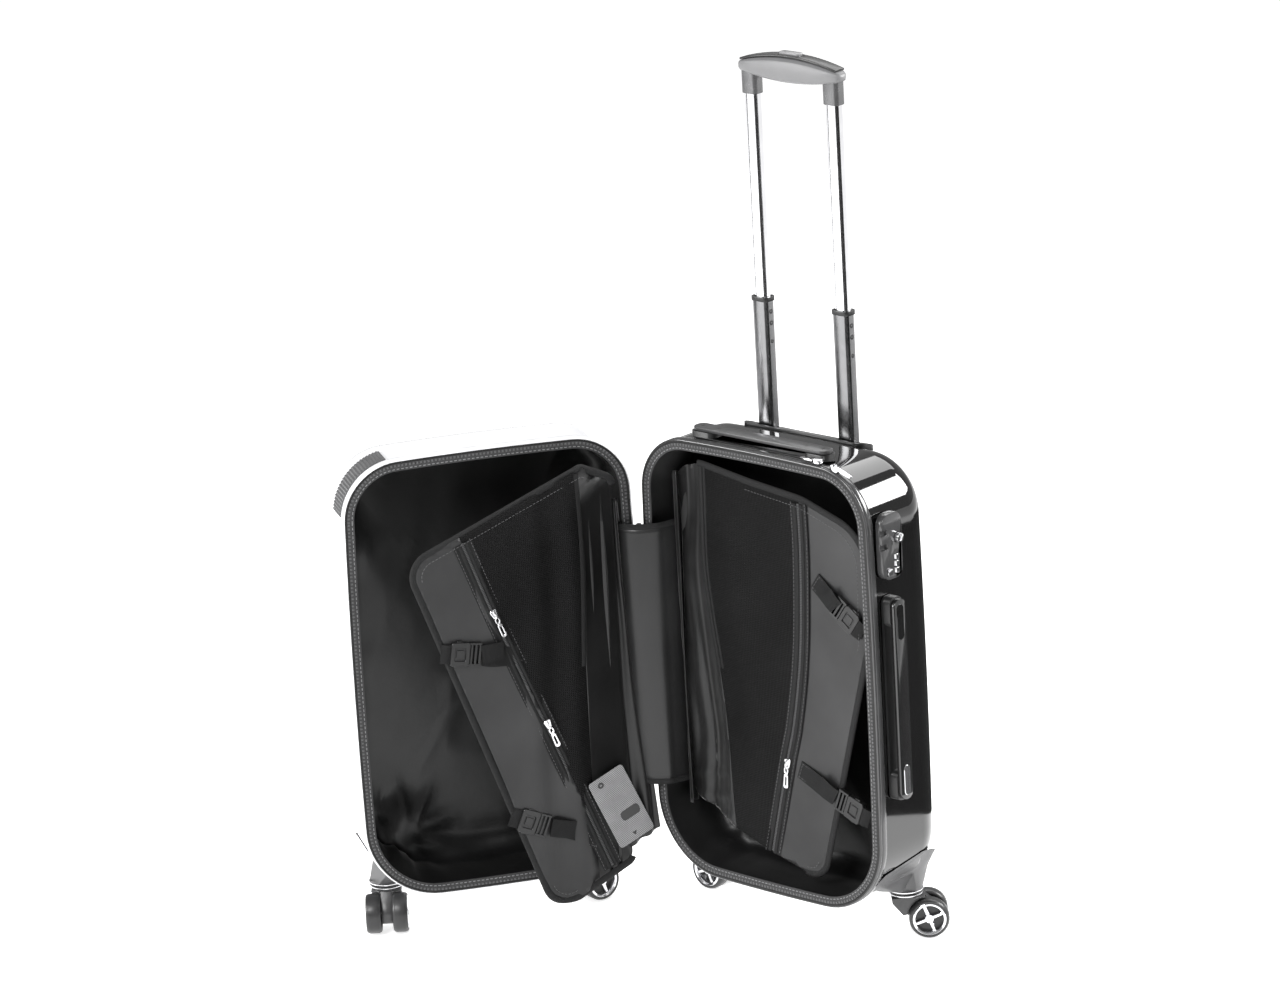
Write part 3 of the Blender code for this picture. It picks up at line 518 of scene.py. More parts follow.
def add_rim(half):
    """Near-black strip of painted shade in the gap by the shell's edge, zip tape with its teeth, and a
    stitched edge round the rim.
    """
    body, side = half + "_half", SIDE[half]
    # A near-black strip laid in the rim's gap is painted shade.
    levels = ((0.0018, 0.0006), (0.0022, 0.0002), (0.0038, 0.0002), (0.0044, 0.0008), (0.0044, 0.0020),
              (0.0018, 0.0020))
    shape = loft([ring(half, inset, v) for inset, v in levels], closed=True)
    piece(half + "_gasket", shape, "gasket", body, "black_plastic", HALF[half])
    levels = ((0.0044, 0.0008), (0.0050, 0.0004), (0.0088, 0.0004), (0.0128, 0.0012), (0.0130, 0.0024),
              (0.0044, 0.0024))
    shape = loft([ring(half, inset, v) for inset, v in levels], closed=True)
    piece(half + "_zip_band", shape, "rim_cloth", body, "zip_tape", HALF[half], [half + "_zip_tape"],
          uv=lambda p: (p[0] + p[1], p[2]))
    out = Vector((0, -side, 0))
    path = resampled([(x, side * 0.0005, z) for x, z in outline(0.0064)], TOOTH_PITCH)
    piece(half + "_zip_teeth", teeth(path, 0.0026, 0.0022, 0.0008, out), "zip_teeth", body,
          "zip_tape", HALF[half])
    path = resampled([(x, side * 0.0009, z) for x, z in outline(0.0104)], RIM_STITCH_PITCH)
    piece(half + "_rim_stitch", teeth(path, 0.0010, 0.0030, 0.0005, out), "light_thread", body,
          "zip_tape", HALF[half])


def folds(x, z, seed, stretch):
    """Height of soft creases with narrow ridges, from about -0.1 to 1.1."""
    p = Vector((x * 7, z * 7 * stretch, seed))
    wide = noise.noise(p)
    fine = noise.noise(p * 2.6 + Vector((wide * 2.0, 0, 4)))
    ridge = max(0.0, 1 - abs(wide) * 2.6) ** 1.6
    return 0.65 * ridge + 0.30 * max(0.0, 1 - abs(fine) * 2.6) ** 1.3 + 0.12 * fine


def add_lining(half):
    """Satin bag inside a shell: loose over the floor, creased in the corners."""
    floor, edge = LINING_FLOOR[half], 0.030
    spring = floor - edge
    profile = [(0.0062, 0.0026)] + [(0.0068, 0.0026 + (spring - 0.0026) * k / 8) for k in range(1, 9)]
    profile += arc(0.0068, spring, edge, 8)
    middle = (HINGE_OFFSET + WIDTH / 2, (Z0 + Z1) / 2)
    rows = [(outline(inset), v) for inset, v in profile]
    rows += [([(x + (middle[0] - x) * t, z + (middle[1] - z) * t * 0.98) for x, z in rows[-1][0]], floor)
             for t in (1 - (1 - k / 34) ** 1.2 for k in range(1, 34))]
    total = len(rows)
    knob = (0.270, 0.092) if half == "front" else (0.078, 0.100)
    rings = []
    for i, (row, v) in enumerate(rows):
        loose = min(1.0, i / 6) * (1.0 if i < total - 3 else 0.4)
        points = []
        for x, z in row:
            corner = max(0.0, abs(x - middle[0]) / 0.162 + abs(z - middle[1]) / 0.252 - 1.15)
            lift = loose * (0.0045 + 0.016 * corner) * folds(x, z, 3.0 + SIDE[half] * 4, 0.7)
            fan = math.atan2(z - middle[1] * 0.8, x - middle[0])
            ray = 26 * fan + 3 * noise.noise(Vector((x * 9, z * 9, 5)))
            lift += loose * corner * 0.0045 * max(0.0, math.sin(ray))
            away = math.hypot(x - knob[0], z - knob[1])
            turn = math.atan2(z - knob[1], x - knob[0])
            bump = loose * 0.013 * math.exp(-(away / 0.034) ** 2)
            spiral = max(0.0, math.sin(9 * turn + 14 * away))
            bump += loose * 0.0036 * math.exp(-((away - 0.036) / 0.024) ** 2) * spiral
            inward = lift + bump
            toward = Vector((middle[0] - x, middle[1] - z)).normalized()
            share = clamp((v - spring) / edge)
            points.append((x + toward.x * inward * (1 - share * 0.8), SIDE[half] * (v - inward * share),
                           z + toward.y * inward * (1 - share * 0.8)))
        rings.append(points)
    points, faces = loft(rings, caps=False)
    points.append((middle[0], SIDE[half] * floor, middle[1]))
    count, last = len(rings[0]), (total - 1) * len(rings[0])
    faces += [(last + k, last + (k + 1) % count, len(points) - 1) for k in range(count)]
    lining = piece(half + "_lining_satin", (points, faces), "lining", half + "_half", "lining", HALF[half],
                   [half + "_lining"], smooth=80, thick=SATIN_THICK, uv=lambda p: (p[0], p[2]))


def add_corner_guard():
    """Ribbed guard round the outer top corner of the front shell."""
    ribs = 22
    for_angle = []
    for k in range(ribs * 4 + 1):
        angle = math.radians(4 + 78 * k / (ribs * 4))
        lift = 0.0007 + 0.0010 * (0.5 + 0.5 * math.sin(2 * math.pi * k / 4))
        rows = []
        for v, drop in ((0.0125, 0.0), (0.0132, lift), (0.030, lift), (0.0472, lift), (0.0480, 0.0)):
            radius = TOP_RADIUS - 0.0015 + drop + 0.0004
            s = WIDTH - TOP_RADIUS + radius * math.cos(angle)
            z = Z1 - TOP_RADIUS + radius * math.sin(angle)
            across, up = (s - WIDTH / 2) / (WIDTH / 2), (z - (Z0 + Z1) / 2) / ((Z1 - Z0) / 2)
            rows.append((HINGE_OFFSET + s + BULGE * (1 - up * up) * across, -v,
                         z + BULGE * (1 - across * across) * up))
        for_angle.append(rows)
    shape = loft(for_angle, caps=False, round_ring=False)
    piece("front_corner_guard", shape, "guard_grey", "front_half", "grey_plastic", FRONT, smooth=30,
          thick=THIN)


add_shell("back", "black_gloss")
add_shell("front", "white_gloss")
add_corner_guard()
for half in ("back", "front"):
    add_rim(half)
    add_lining(half)


# ---------------------------------------------------------------- hinge cover

def add_hinge_cover():
    """Smooth coated panel over the hinge, bound at its top and bottom edges."""
    def from_front(x, y):
        point = Matrix.Rotation(-OPEN, 4, "Z") @ Vector((x, y, 0))
        return point.x, point.y

    line = [from_front(0.0300, -0.030), from_front(0.0265, -0.012), from_front(0.0225, -0.001),
            (0.0065, -0.0125),
            (0.0225, 0.001), (0.0265, 0.012), (0.0300, 0.030)]
    path = curve_through([(x, y, 0) for x, y in line], 8)
    low, high = COVER_Z
    rows = []
    for k in range(41):
        z = low + (high - low) * k / 40
        row = []
        for i, p in enumerate(path):
            t = i / (len(path) - 1)
            wave = 0.0014 * math.sin(math.pi * t) * math.sin(3.1 * t * math.pi + z * 9)
            row.append(HINGE + Vector((p.x + wave * 0.5, p.y - wave,
                                       z + 0.003 * math.sin(math.pi * t) * (k < 20))))
        rows.append(row)
    shape = loft(rows, caps=False, round_ring=False)
    start = HINGE + Vector((*from_front(0.0225, -0.001), 0.3))
    end = HINGE + Vector((0.0225, 0.001, 0.3))
    blend = ("front_half", "back_half", start, end)
    cover = piece("hinge_cover", shape, "cover_cloth", None, "coated_cloth", smooth=60, thick=COATED_THICK,
                  blend=blend,
                  stands_for=["hinge_cover_back", "hinge_cover_front"], uv=lambda p: (p[0] + p[1], p[2]))
    for row, name in ((rows[0], "low"), (rows[-1], "high")):
        hem = sweep(row, oval(0.0024, 0.0075), (0, 0, 1))
        piece("hinge_cover_hem_" + name, hem, "binding", None, "webbing", blend=blend)


add_hinge_cover()


# ---------------------------------------------------------------- dividers

def line_side(a, b):
    """Outward direction to the right of a line from a to b."""
    along = (Vector(b) - Vector(a)).normalized()
    return along.y, -along.x


def strip_path(points, steps=10):
    return [Vector((x, z, 0)) for x, z, _ in curve_through([(x, z, 0) for x, z in points], steps)]


def add_divider_zip(prefix, points, plane, body, lift=0.0022):
    """Zip on a divider: two tapes, piped edges and a coil between them."""
    path = strip_path(points)
    level = [Vector((p.x, p.y, lift)) for p in path]
    up = (0, 0, 1)
    tape = sweep(level, [(-0.0115, 0.0), (0.0115, 0.0), (0.0115, 0.0008), (-0.0115, 0.0008)], up)
    pipes = []
    for side in (-1, 1):
        across = side * 0.0042
        section = [(across + s, t + 0.0010) for s, t in oval(0.0042, 0.0026)]
        pipes.append(sweep(level, section, up))
    piece(prefix + "_zip_tapes", join(tape, *pipes), "binding", body, "zip_tape", plane, smooth=50)
    marks = resampled([p + Vector((0, 0, 0.0006)) for p in level], COIL_PITCH)
    marks = [(at, along) for at, along in marks if (at - level[-1]).length > 0.002][:int(len(marks) / 2)]
    piece(prefix + "_zip_coil", teeth(marks, 0.0030, 0.0011, 0.0010, Vector(up)), "zip_teeth", body,
          "zip_tape", plane)


def add_binding(name, outline_points, plane, body, height):
    path = [Vector((p[0], p[1], height(p[0], p[1]) - 0.0008)) for p in outline_points]
    piece(name, sweep(path, oval(0.0085, 0.0044, 12), (0, 0, 1)), "binding", body, "webbing", plane)


def add_stitches(name, points, plane, body, lift):
    """Thread marks along a line; a wide gap between its points splits it."""
    marks, carry = [], 0.0
    for p, q in zip(points, points[1:]):
        a, b = Vector((*p[:2], lift)), Vector((*q[:2], lift))
        length = (b - a).length
        if length > 0.2:
            continue
        while carry < length:
            marks.append((a.lerp(b, carry / length), (b - a).normalized()))
            carry += STITCH_PITCH
        carry -= length
    piece(name, teeth(marks, 0.0006, 0.0028, 0.0005, Vector((0, 0, 1))), "thread", body, "webbing", plane)


def one_run(points, keep):
    """The longest unbroken run of a closed outline's points that pass keep."""
    start = next(i for i, p in enumerate(points) if not keep(p) and keep(points[(i + 1) % len(points)]))
    turned_points = points[start + 1:] + points[:start + 1]
    run = []
    for p in turned_points:
        if not keep(p):
            break
        run.append((p.x, p.y))
    return run


def buckle(length=0.036, width=0.027, tall=0.0058):
    """Side-release buckle lying along +x: framed socket, prong plate and ladder bars."""
    socket = frame_slab(rectangle(length * 0.62, width, 0.003, (-length * 0.17, 0)),
                        rectangle(length * 0.36, width * 0.55, 0.0015, (-length * 0.17, 0)), 0.0, tall)
    plate = slab(rectangle(length * 0.40, width * 0.60, 0.001, (-length * 0.17, 0)), 0.0008, tall - 0.0016)
    inset = slab(rectangle(length * 0.26, width * 0.36, 0.001, (-length * 0.17, 0)), tall - 0.0020,
                 tall - 0.0006, 0.0003)
    parts = [socket, plate, inset]
    for x in (0.20, 0.34, 0.48):
        parts.append(slab(rectangle(length * 0.075, width * 0.92, 0.0008, (length * x, 0)), 0.0004,
                          tall - 0.0006, 0.0004))
    for side in (-1, 1):
        parts.append(slab(rectangle(length * 0.40, 0.0026, 0.0008, (length * 0.33, side * width * 0.44)), 0.0,
                          tall - 0.0004, 0.0004))
        parts.append(slab(rectangle(length * 0.20, 0.0030, 0.0012, (-length * 0.20, side * width * 0.50)),
                          0.0008, tall - 0.0014, 0.0004))
    return join(*parts)


def ribbon(points, width, thick=0.0015):
    path = curve_through(points, 8)
    return sweep(path, [(-width / 2, 0), (width / 2, 0), (width / 2, thick), (-width / 2, thick)], (0, 0, 1))


def add_strap(prefix, name, centre, end, plane, body, droop=0.0):
    """Webbing with its side-release buckle, replacing the plain strap and plate."""
    spot, far = Vector(centre), Vector(end)
    along = (far - spot).normalized()
    turn = laid(spot, along, 0.0018)
    piece("%s_buckle_%s_finish" % (prefix, name), moved(buckle(), turn), "black_plastic", body,
          "black_plastic",
          plane, ["%s_buckle_%s" % (prefix, name)])
    side = Vector((-along.y, along.x))
    reach = (far - spot).length
    points = []
    for share, height in ((0.30, 0.0034), (0.42, 0.0055), (0.6, 0.0042), (0.8, 0.0028), (1.0, 0.0019)):
        p = spot + along * reach * share + side * droop * math.sin(math.pi * share)
        points.append((p.x, p.y, height))
    tail = [(*(spot + along * reach * s + side * t), h) for s, t, h in
            ((0.26, 0.000, 0.0062), (0.40, -0.002, 0.0082), (0.58, -0.0045, 0.0076))]
    webbing = join(ribbon(points, 0.0215), ribbon(tail, 0.0205))
    hook = spot - along * 0.016
    loop = [(*(hook - along * s), h) for s, h in ((-0.004, 0.003), (0.004, 0.0052), (0.012, 0.0026))]
    piece("%s_strap_%s_finish" % (prefix, name), join(webbing, ribbon(loop, 0.0215)), "webbing", body,
          "webbing",
          plane, ["%s_strap_%s" % (prefix, name)])
    middle, half = far - along * 0.011, 0.0085
    corners = [middle + along * i * half + side * j * half
               for i, j in ((1, 1), (1, -1), (-1, -1), (-1, 1), (1, 1))]
    square = [(p.x, p.y) for p in corners]
    add_stitches("%s_strap_%s_box" % (prefix, name), square, plane, body, 0.0036)


def add_zip_pull(node, centre, toward, plane, body):
    """Slider with a bail and a shaped pull, hanging along its zip."""
    start = Vector(centre)
    along = (Vector(toward) - start).normalized()
    turn = laid(start, along, 0.0034)
    slider = slab(rounded([(0.0105, 0.0024, 0.002), (-0.0008, 0.0046, 0.002), (-0.0008, -0.0046, 0.002),
                           (0.0105, -0.0024, 0.002)]), 0.0, 0.0034, 0.0007)
    bail = sweep(curve_through([(0.001, 0, 0.003), (0.003, 0, 0.0056), (0.008, 0, 0.0056), (0.010, 0, 0.003)],
                               6),
                 oval(0.0022, 0.0016), (0, 1, 0))
    link = frame_slab(rectangle(0.0085, 0.0060, 0.0029, (0.0125, 0)),
                      rectangle(0.0045, 0.0026, 0.0012, (0.0125, 0)),
                      0.0036, 0.0050)
    pull = frame_slab(rounded([(0.0340, 0.0034, 0.003), (0.0165, 0.0026, 0.002), (0.0165, -0.0026, 0.002),
                               (0.0340, -0.0034, 0.003)], 4), rectangle(0.0110, 0.0022, 0.001, (0.0255, 0)),
                      0.0030, 0.0050)
    shape = moved(join(slider, bail, link, pull), turn)
    piece(node + "_finish", shape, "chrome", body, "chrome", plane, [node])


def flat_cut(shape):
    """The smallest rectangle round a panel's flat cut, and the cut's area, both without the drape."""
    points, faces = shape
    area = 0.0
    for face in faces:
        loop = [points[i] for i in face]
        area += abs(sum(p[0] * q[1] - q[0] * p[1] for p, q in zip(loop, loop[1:] + loop[:1]))) / 2
    sizes = []
    for angle in range(0, 90, 5):
        c, s = math.cos(math.radians(angle)), math.sin(math.radians(angle))
        along = [p[0] * c + p[1] * s for p in points]
        across = [p[1] * c - p[0] * s for p in points]
        sizes.append(sorted((max(along) - min(along), max(across) - min(across))))
    width, length = min(sizes, key=lambda size: size[0] * size[1])
    return (round(width, 3), round(length, 3)), round(area, 4)


def add_panels(divider, plane, panels):
    """Cloth panels of a divider; the flat cut of each is worked out but not kept. The net stands for the CAD
    panel.
    """
    for part, shape, material, slot, thick, smooth in panels:
        obj = piece("%s_%s" % (divider, part), shape, material, divider, slot, plane,
                    [divider] if part == "net" else [], smooth=smooth, thick=thick)
        size, area = flat_cut(shape)


def add_front_divider():
    """Coated band, net and satin on a panel that hangs out of the front half."""
    corners = ((0.282, 0.450, 0.026), (0.072, 0.5275, 0.014), (0.035, 0.511, 0.016), (0.034, 0.0642, 0.012),
               (0.1316, 0.0188, 0.028))
    edge = rounded(corners, 10)
    zip_high, zip_low = (0.2165, 0.4655), (0.0607, 0.0596)
    zip_points = (zip_high, (0.1765, 0.3560), (0.1100, 0.1870), zip_low)
    fold = 0.078
    out = line_side(zip_low, zip_high)

    def height(a, b):
        crown = 0.0010 + 0.0016 * math.sin(clamp((a - 0.06) / 0.2) * math.pi)
        near = clamp((0.165 - a) / 0.07)
        drape = near * 0.0040 * math.sin((a - fold) * 120 + 2.5 * noise.noise(Vector((a * 5, b * 4, 1))))
        slack = 0.0034 * noise.noise(Vector((a * 11, b * 6, 7))) * clamp((0.24 - a) / 0.06)
        return PANEL_HALF * 0.2 + crown + drape + slack

    def satin_height(a, b):
        dip = 0.010 * max(0.0, (fold - a) / 0.04) ** 1.5
        pleat = 0.0028 * math.sin(a * 420 + 3.0 * noise.noise(Vector((a * 6, b * 7, 12))))
        return height(a, b) - dip + pleat * clamp((fold - a) / 0.012)

    band = cloth(edge, 0.006, height, [(zip_low, (-out[0], -out[1]))])
    net = cloth(edge, 0.004, height, [(zip_low, out), ((fold, 0), (-1, 0))])
    satin = cloth(edge, 0.004, satin_height, [(zip_low, out), ((fold, 0), (1, 0))])
    base = [(p.x, p.y, -PANEL_HALF) for p in edge]
    backing = (base, [tuple(range(len(base)))])
    add_panels("front_divider", FRONT_PLANE, (
        ("band", band, "coated", "coated_cloth", COATED_THICK, 60),
        ("net", net, "net", "divider_cloth", SATIN_THICK, 60),
        ("satin", satin, "satin_panel", "lining", SATIN_THICK, 80),
        ("back", backing, "lining", "lining", THIN, 40)))
    add_binding("front_divider_binding", one_run(edge, lambda p: p.x > 0.0352), FRONT_PLANE, "front_divider",
                height)
    add_divider_zip("front_divider", zip_points, FRONT_PLANE, "front_divider", 0.0030)
    seam = [(fold, 0.522), (fold - 0.001, 0.45), (fold + 0.001, 0.37), (fold + 0.004, 0.30)]
    level = [Vector((p.x, p.y, height(p.x, p.y) + 0.0006)) for p in strip_path(seam)]
    piece("front_divider_seam", sweep(level, oval(0.0070, 0.0026), (0, 0, 1)), "binding", "front_divider",
          "webbing",
          FRONT_PLANE)
    inner = offset(edge, 0.0085)
    add_stitches("front_divider_edge_stitch", one_run(inner, lambda p: p.x > 0.05), FRONT_PLANE,
                 "front_divider", 0.0050)
    for side in (-0.0100, 0.0100):
        line = [(p.x + out[0] * side, p.y + out[1] * side) for p in strip_path(zip_points)]
        add_stitches("front_divider_zip_stitch_%s" % ("a" if side < 0 else "b"), line, FRONT_PLANE,
                     "front_divider", 0.0040)
    add_strap("front_divider", "high", (0.222, 0.340), (0.147, 0.328), FRONT_PLANE, "front_divider", 0.004)
    add_strap("front_divider", "low", (0.154, 0.130), (0.074, 0.094), FRONT_PLANE, "front_divider", -0.003)
    add_zip_pull("front_divider_zip_pull_high", (0.1865, 0.3840), zip_low, FRONT_PLANE, "front_zip_pull_high")
    add_zip_pull("front_divider_zip_pull_low", (0.1310, 0.2460), zip_low, FRONT_PLANE, "front_zip_pull_low")
    add_front_gusset()
    add_tag_card()


def gusset_shape(near, far, columns, wave):
    """Cloth between two curves; wave(t, y) is the (across, up) shift at a share t of the way over."""
    rows = []
    for p, q in zip(near, far):
        row = []
        for i in range(columns + 1):
            t = i / columns
            at, (across, up) = p.lerp(q, t), wave(t, p.y)
            row.append((at.x + across, at.y, at.z + up))
        rows.append(row)
    return loft(rows, caps=False, round_ring=False)


def add_front_gusset():
    """Gathered satin between the front divider and its half, beside the hinge."""
    near = curve_through([(0.040, 0.486, -0.006), (0.041, 0.37, -0.006), (0.041, 0.25, -0.005),
                          (0.038, 0.075, -0.002)], 14)
    far = curve_through([(0.022, 0.480, -0.016), (0.014, 0.37, -0.019), (0.008, 0.25, -0.013),
                         (-0.001, 0.094, 0.0)], 14)

    def wave(t, y):
        rise = math.sin(t * 2 * math.pi * 2.0 + 1.8 * noise.noise(Vector((y * 6, t * 2, 2)))) * 0.0032
        return 0.0, rise * math.sin(math.pi * t) ** 0.5

    start, end = FRONT_PLANE @ Vector((0.041, 0.28, 0)), FRONT_PLANE @ Vector((0.012, 0.28, -0.012))
    gusset = piece("front_gusset", gusset_shape(near, far, 24, wave), "satin_panel", None, "lining",
                   FRONT_PLANE,
                   smooth=80, thick=SATIN_THICK, blend=("front_divider", "front_half", start, end))


def add_tag_card():
    """Plain card with an eyelet and a dark window, tucked in the front net."""
    middle, along = Vector((0.0475, 0.1290)), Vector((-0.400, -0.916)).normalized()
    turn = laid(middle, along, 0.0050)
    card = slab(rectangle(0.090, 0.046, 0.004), 0.0, 0.0010, 0.0003)
    piece("tag_card_finish", moved(card, turn), "card", "front_divider", "card", FRONT_PLANE, ["tag_card"],
          uv=lambda p: (0.7 * (p[0] + p[1]), 0.7 * (p[0] - p[1])))
    window = slab(rectangle(0.012, 0.024, 0.004, (0.012, -0.006)), 0.0009, 0.0014, 0.0002)
    mark = slab(rounded([(0.0400, 0.0, 0.0004), (0.0350, 0.0028, 0.0004), (0.0350, -0.0028, 0.0004)], 2),
                0.0009, 0.0013, 0.0002)
    ring = frame_slab(rectangle(0.007, 0.007, 0.0034, (-0.036, 0.010)),
                      rectangle(0.003, 0.003, 0.0014, (-0.036, 0.010)),
                      0.0009, 0.0018, 0.0003)
    piece("tag_card_marks", moved(join(window, mark, ring), turn), "dark_window", "front_divider",
          "black_plastic",
          FRONT_PLANE)


def add_back_divider():
    """Net between a pleated satin panel, by the hinge, and a coated band."""
    corners = ((0.034, 0.512, 0.022), (0.078, 0.525, 0.020), (0.150, 0.515, 0.090), (0.225, 0.507, 0.080),
               (0.313, 0.478, 0.052), (0.310, 0.355, 0.100), (0.231, 0.066, 0.024), (0.036, 0.130, 0.015))
    edge = rounded(corners, 10)
    zip_points = ((0.2215, 0.502), (0.2218, 0.4375), (0.2154, 0.3331), (0.2016, 0.2495), (0.1884, 0.2003),
                  (0.160, 0.088))
    seam_points = ((0.0790, 0.522), (0.0768, 0.423), (0.0840, 0.360), (0.0910, 0.301), (0.0970, 0.240),
                   (0.1020, 0.179), (0.1060, 0.105))

    def height(a, b):
        crown = 0.0018 * math.sin(clamp((a - 0.03) / 0.28) * math.pi)
        inside = clamp((0.205 - a) / 0.05) * clamp((0.51 - b) / 0.05)
        along = math.exp(-((b - 0.30) ** 2) / 0.020)
        fold = 0.0048 * math.exp(-((a - 0.128 - 0.10 * (0.32 - b)) ** 2) / 0.0005) * along
        hollow = 0.0022 * math.exp(-((a - 0.155) ** 2) / 0.0012) * math.exp(-((b - 0.45) ** 2) / 0.004)
        return 0.0004 + crown + inside * (fold - hollow + 0.0042 * noise.noise(Vector((a * 13, b * 7, 3))))

    path = strip_path(zip_points, 6)
    seam_path = strip_path(seam_points, 6)

    def satin_height(a, b):
        away = max(0.0, zip_at(seam_path, b) - a)
        pleat = 0.0014 * math.sin(away * 260 + b * 14 + 3.0 * noise.noise(Vector((a * 6, b * 9, 12))))
        creases = 0.0018 * max(0.0, math.sin(b * 230 - a * 60)) * clamp((0.20 - b) / 0.05)
        sag = 0.0085 * min(1.0, away / 0.03) ** 1.4
        return height(a, b) - sag + (pleat + creases) * min(1.0, away / 0.010)

    band_edge = [(p.x, p.y) for p in path]
    seam_edge = [(p.x, p.y) for p in seam_path]
    right = [(p.x, p.y) for p in edge if p.x > 0.16 and p.x > zip_at(path, p.y)]
    middle = [(p.x, p.y) for p in edge if zip_at(seam_path, p.y) < p.x <= zip_at(path, p.y)]
    left = [(p.x, p.y) for p in edge if p.x <= zip_at(seam_path, p.y)]
    above = [p for p in middle if p[1] > 0.3]
    below = [p for p in middle if p[1] <= 0.3]
    above.sort()
    below.sort(reverse=True)
    net_outline = [Vector(p) for p in seam_edge[::-1] + above + band_edge + below]
    base = [(p.x, p.y, -PANEL_HALF if p.x > 0.06 else -0.0110) for p in edge]
    satin = cloth(order_loop(left, seam_edge), 0.004, satin_height)
    band = cloth(order_loop(right, band_edge), 0.006, height)
    add_panels("back_divider", BACK_PLANE, (
        ("net", cloth(net_outline, 0.004, height), "net", "divider_cloth", SATIN_THICK, 60),
        ("satin", satin, "satin_panel", "lining", SATIN_THICK, 80),
        ("band", band, "coated", "coated_cloth", COATED_THICK, 60),
        ("back", (base, [tuple(range(len(base)))]), "lining", "lining", THIN, 40)))
    add_binding("back_divider_binding", one_run(edge, lambda p: p.x > 0.074), BACK_PLANE, "back_divider",
                height)
    add_divider_zip("back_divider", zip_points, BACK_PLANE, "back_divider", 0.0034)
    for shift, width in ((0.0, 0.0050), (0.0052, 0.0034)):
        level = [Vector((p.x + shift, p.y, height(p.x, p.y) + 0.0006)) for p in seam_path[:20]]
        piece("back_divider_seam_%d" % round(width * 1e4), sweep(level, oval(width, 0.0026), (0, 0, 1)),
              "binding",
              "back_divider", "webbing", BACK_PLANE)
    inner = offset(edge, 0.0085)
    add_stitches("back_divider_edge_stitch", one_run(inner, lambda p: p.x > 0.09), BACK_PLANE,
                 "back_divider", 0.0050)
    for side in (-0.0100, 0.0100):
        line = [(p.x + side, p.y) for p in path]
        add_stitches("back_divider_zip_stitch_%s" % ("a" if side < 0 else "b"), line, BACK_PLANE,
                     "back_divider", 0.0044)
    add_strap("back_divider", "high", (0.284, 0.386), (0.240, 0.418), BACK_PLANE, "back_divider")
    add_strap("back_divider", "low", (0.278, 0.165), (0.205, 0.194), BACK_PLANE, "back_divider")
    add_zip_pull("back_divider_zip_pull", (0.190, 0.203), (0.186, 0.160), BACK_PLANE, "back_zip_pull")
    add_back_gusset()


def zip_at(path, z):
    """Where the zip's line is across at a height."""
    for a, b in zip(path, path[1:]):
        if min(a.y, b.y) <= z <= max(a.y, b.y):
            return a.x + (b.x - a.x) * (z - a.y) / (b.y - a.y + 1e-9)
    return path[0].x if z > path[0].y else path[-1].x


def order_loop(points, seam):
    """Joins the outline points on one side of a seam with the seam itself, in order."""
    start = max(range(len(points)), key=lambda i: math.dist(points[i], points[i - 1]))
    run = points[start:] + points[:start]
    forward = math.dist(run[-1], seam[0]) < math.dist(run[-1], seam[-1])
    return run + (seam if forward else seam[::-1])


def add_back_gusset():
    """Satin between the back divider and the hinge side of its half."""
    near = curve_through([(0.042, 0.512, 0.002), (0.041, 0.38, 0.002), (0.040, 0.25, 0.002),
                          (0.042, 0.120, 0.002)], 10)
    far = curve_through([(0.019, 0.500, -0.020), (0.017, 0.38, -0.026), (0.017, 0.25, -0.026),
                         (0.024, 0.120, -0.020)], 10)

    def wave(t, y):
        rise = 0.0035 * math.sin(t * 9.5 + 2 * noise.noise(Vector((y * 6, t, 9)))) * math.sin(math.pi * t)
        return -rise, rise

    start, end = BACK_PLANE @ Vector((0.040, 0.28, 0)), BACK_PLANE @ Vector((0.018, 0.28, -0.024))
    gusset = piece("back_gusset", gusset_shape(near, far, 12, wave), "lining", None, "lining", BACK_PLANE,
                   smooth=80, thick=SATIN_THICK, blend=("back_divider", "back_half", start, end))


add_front_divider()
add_back_divider()


# ---------------------------------------------------------------- casters

def wheel_side():
    """One wheel about Z: tyre, bright rim, spokes and hub, from its inner face at 0 to its outer face."""
    thick = 0.0170
    tyre = turned([(0.0186, 0.0008), (0.0200, 0.0), (0.0216, 0.0010), (0.0225, 0.0036), (0.0225, 0.0134),
                   (0.0216, 0.0160), (0.0204, thick), (0.0190, thick - 0.0002), (0.0186, thick - 0.0020),
                   (0.0186, 0.0020)], closed=True)
    rim = turned([(0.0188, thick - 0.0024), (0.0185, thick - 0.0003), (0.0178, thick + 0.0002),
                  (0.0160, thick - 0.0004), (0.0150, thick - 0.0022), (0.0147, thick - 0.0062),
                  (0.0188, thick - 0.0062)], closed=True)
    dish = turned([(0.0001, 0.0030), (0.0187, 0.0030), (0.0187, thick - 0.0064), (0.0001, thick - 0.0064)])
    spokes = []
    for k in range(4):
        spoke = slab(rounded([(0.0154, 0.0017, 0.0005), (0.0030, 0.0021, 0.0008), (0.0030, -0.0021, 0.0008),
                              (0.0154, -0.0017, 0.0005)], 3), thick - 0.0064, thick - 0.0020, 0.0006)
        spokes.append(moved(spoke, Matrix.Rotation(math.pi / 2 * k + 0.35, 4, "Z")))
    hub = turned([(0.0001, thick - 0.0066), (0.0052, thick - 0.0066), (0.0052, thick - 0.0018),
                  (0.0044, thick - 0.0008), (0.0026, thick - 0.0008), (0.0021, thick - 0.0018),
                  (0.0001, thick - 0.0018)], 24)
    return tyre, join(rim, *spokes, hub), dish


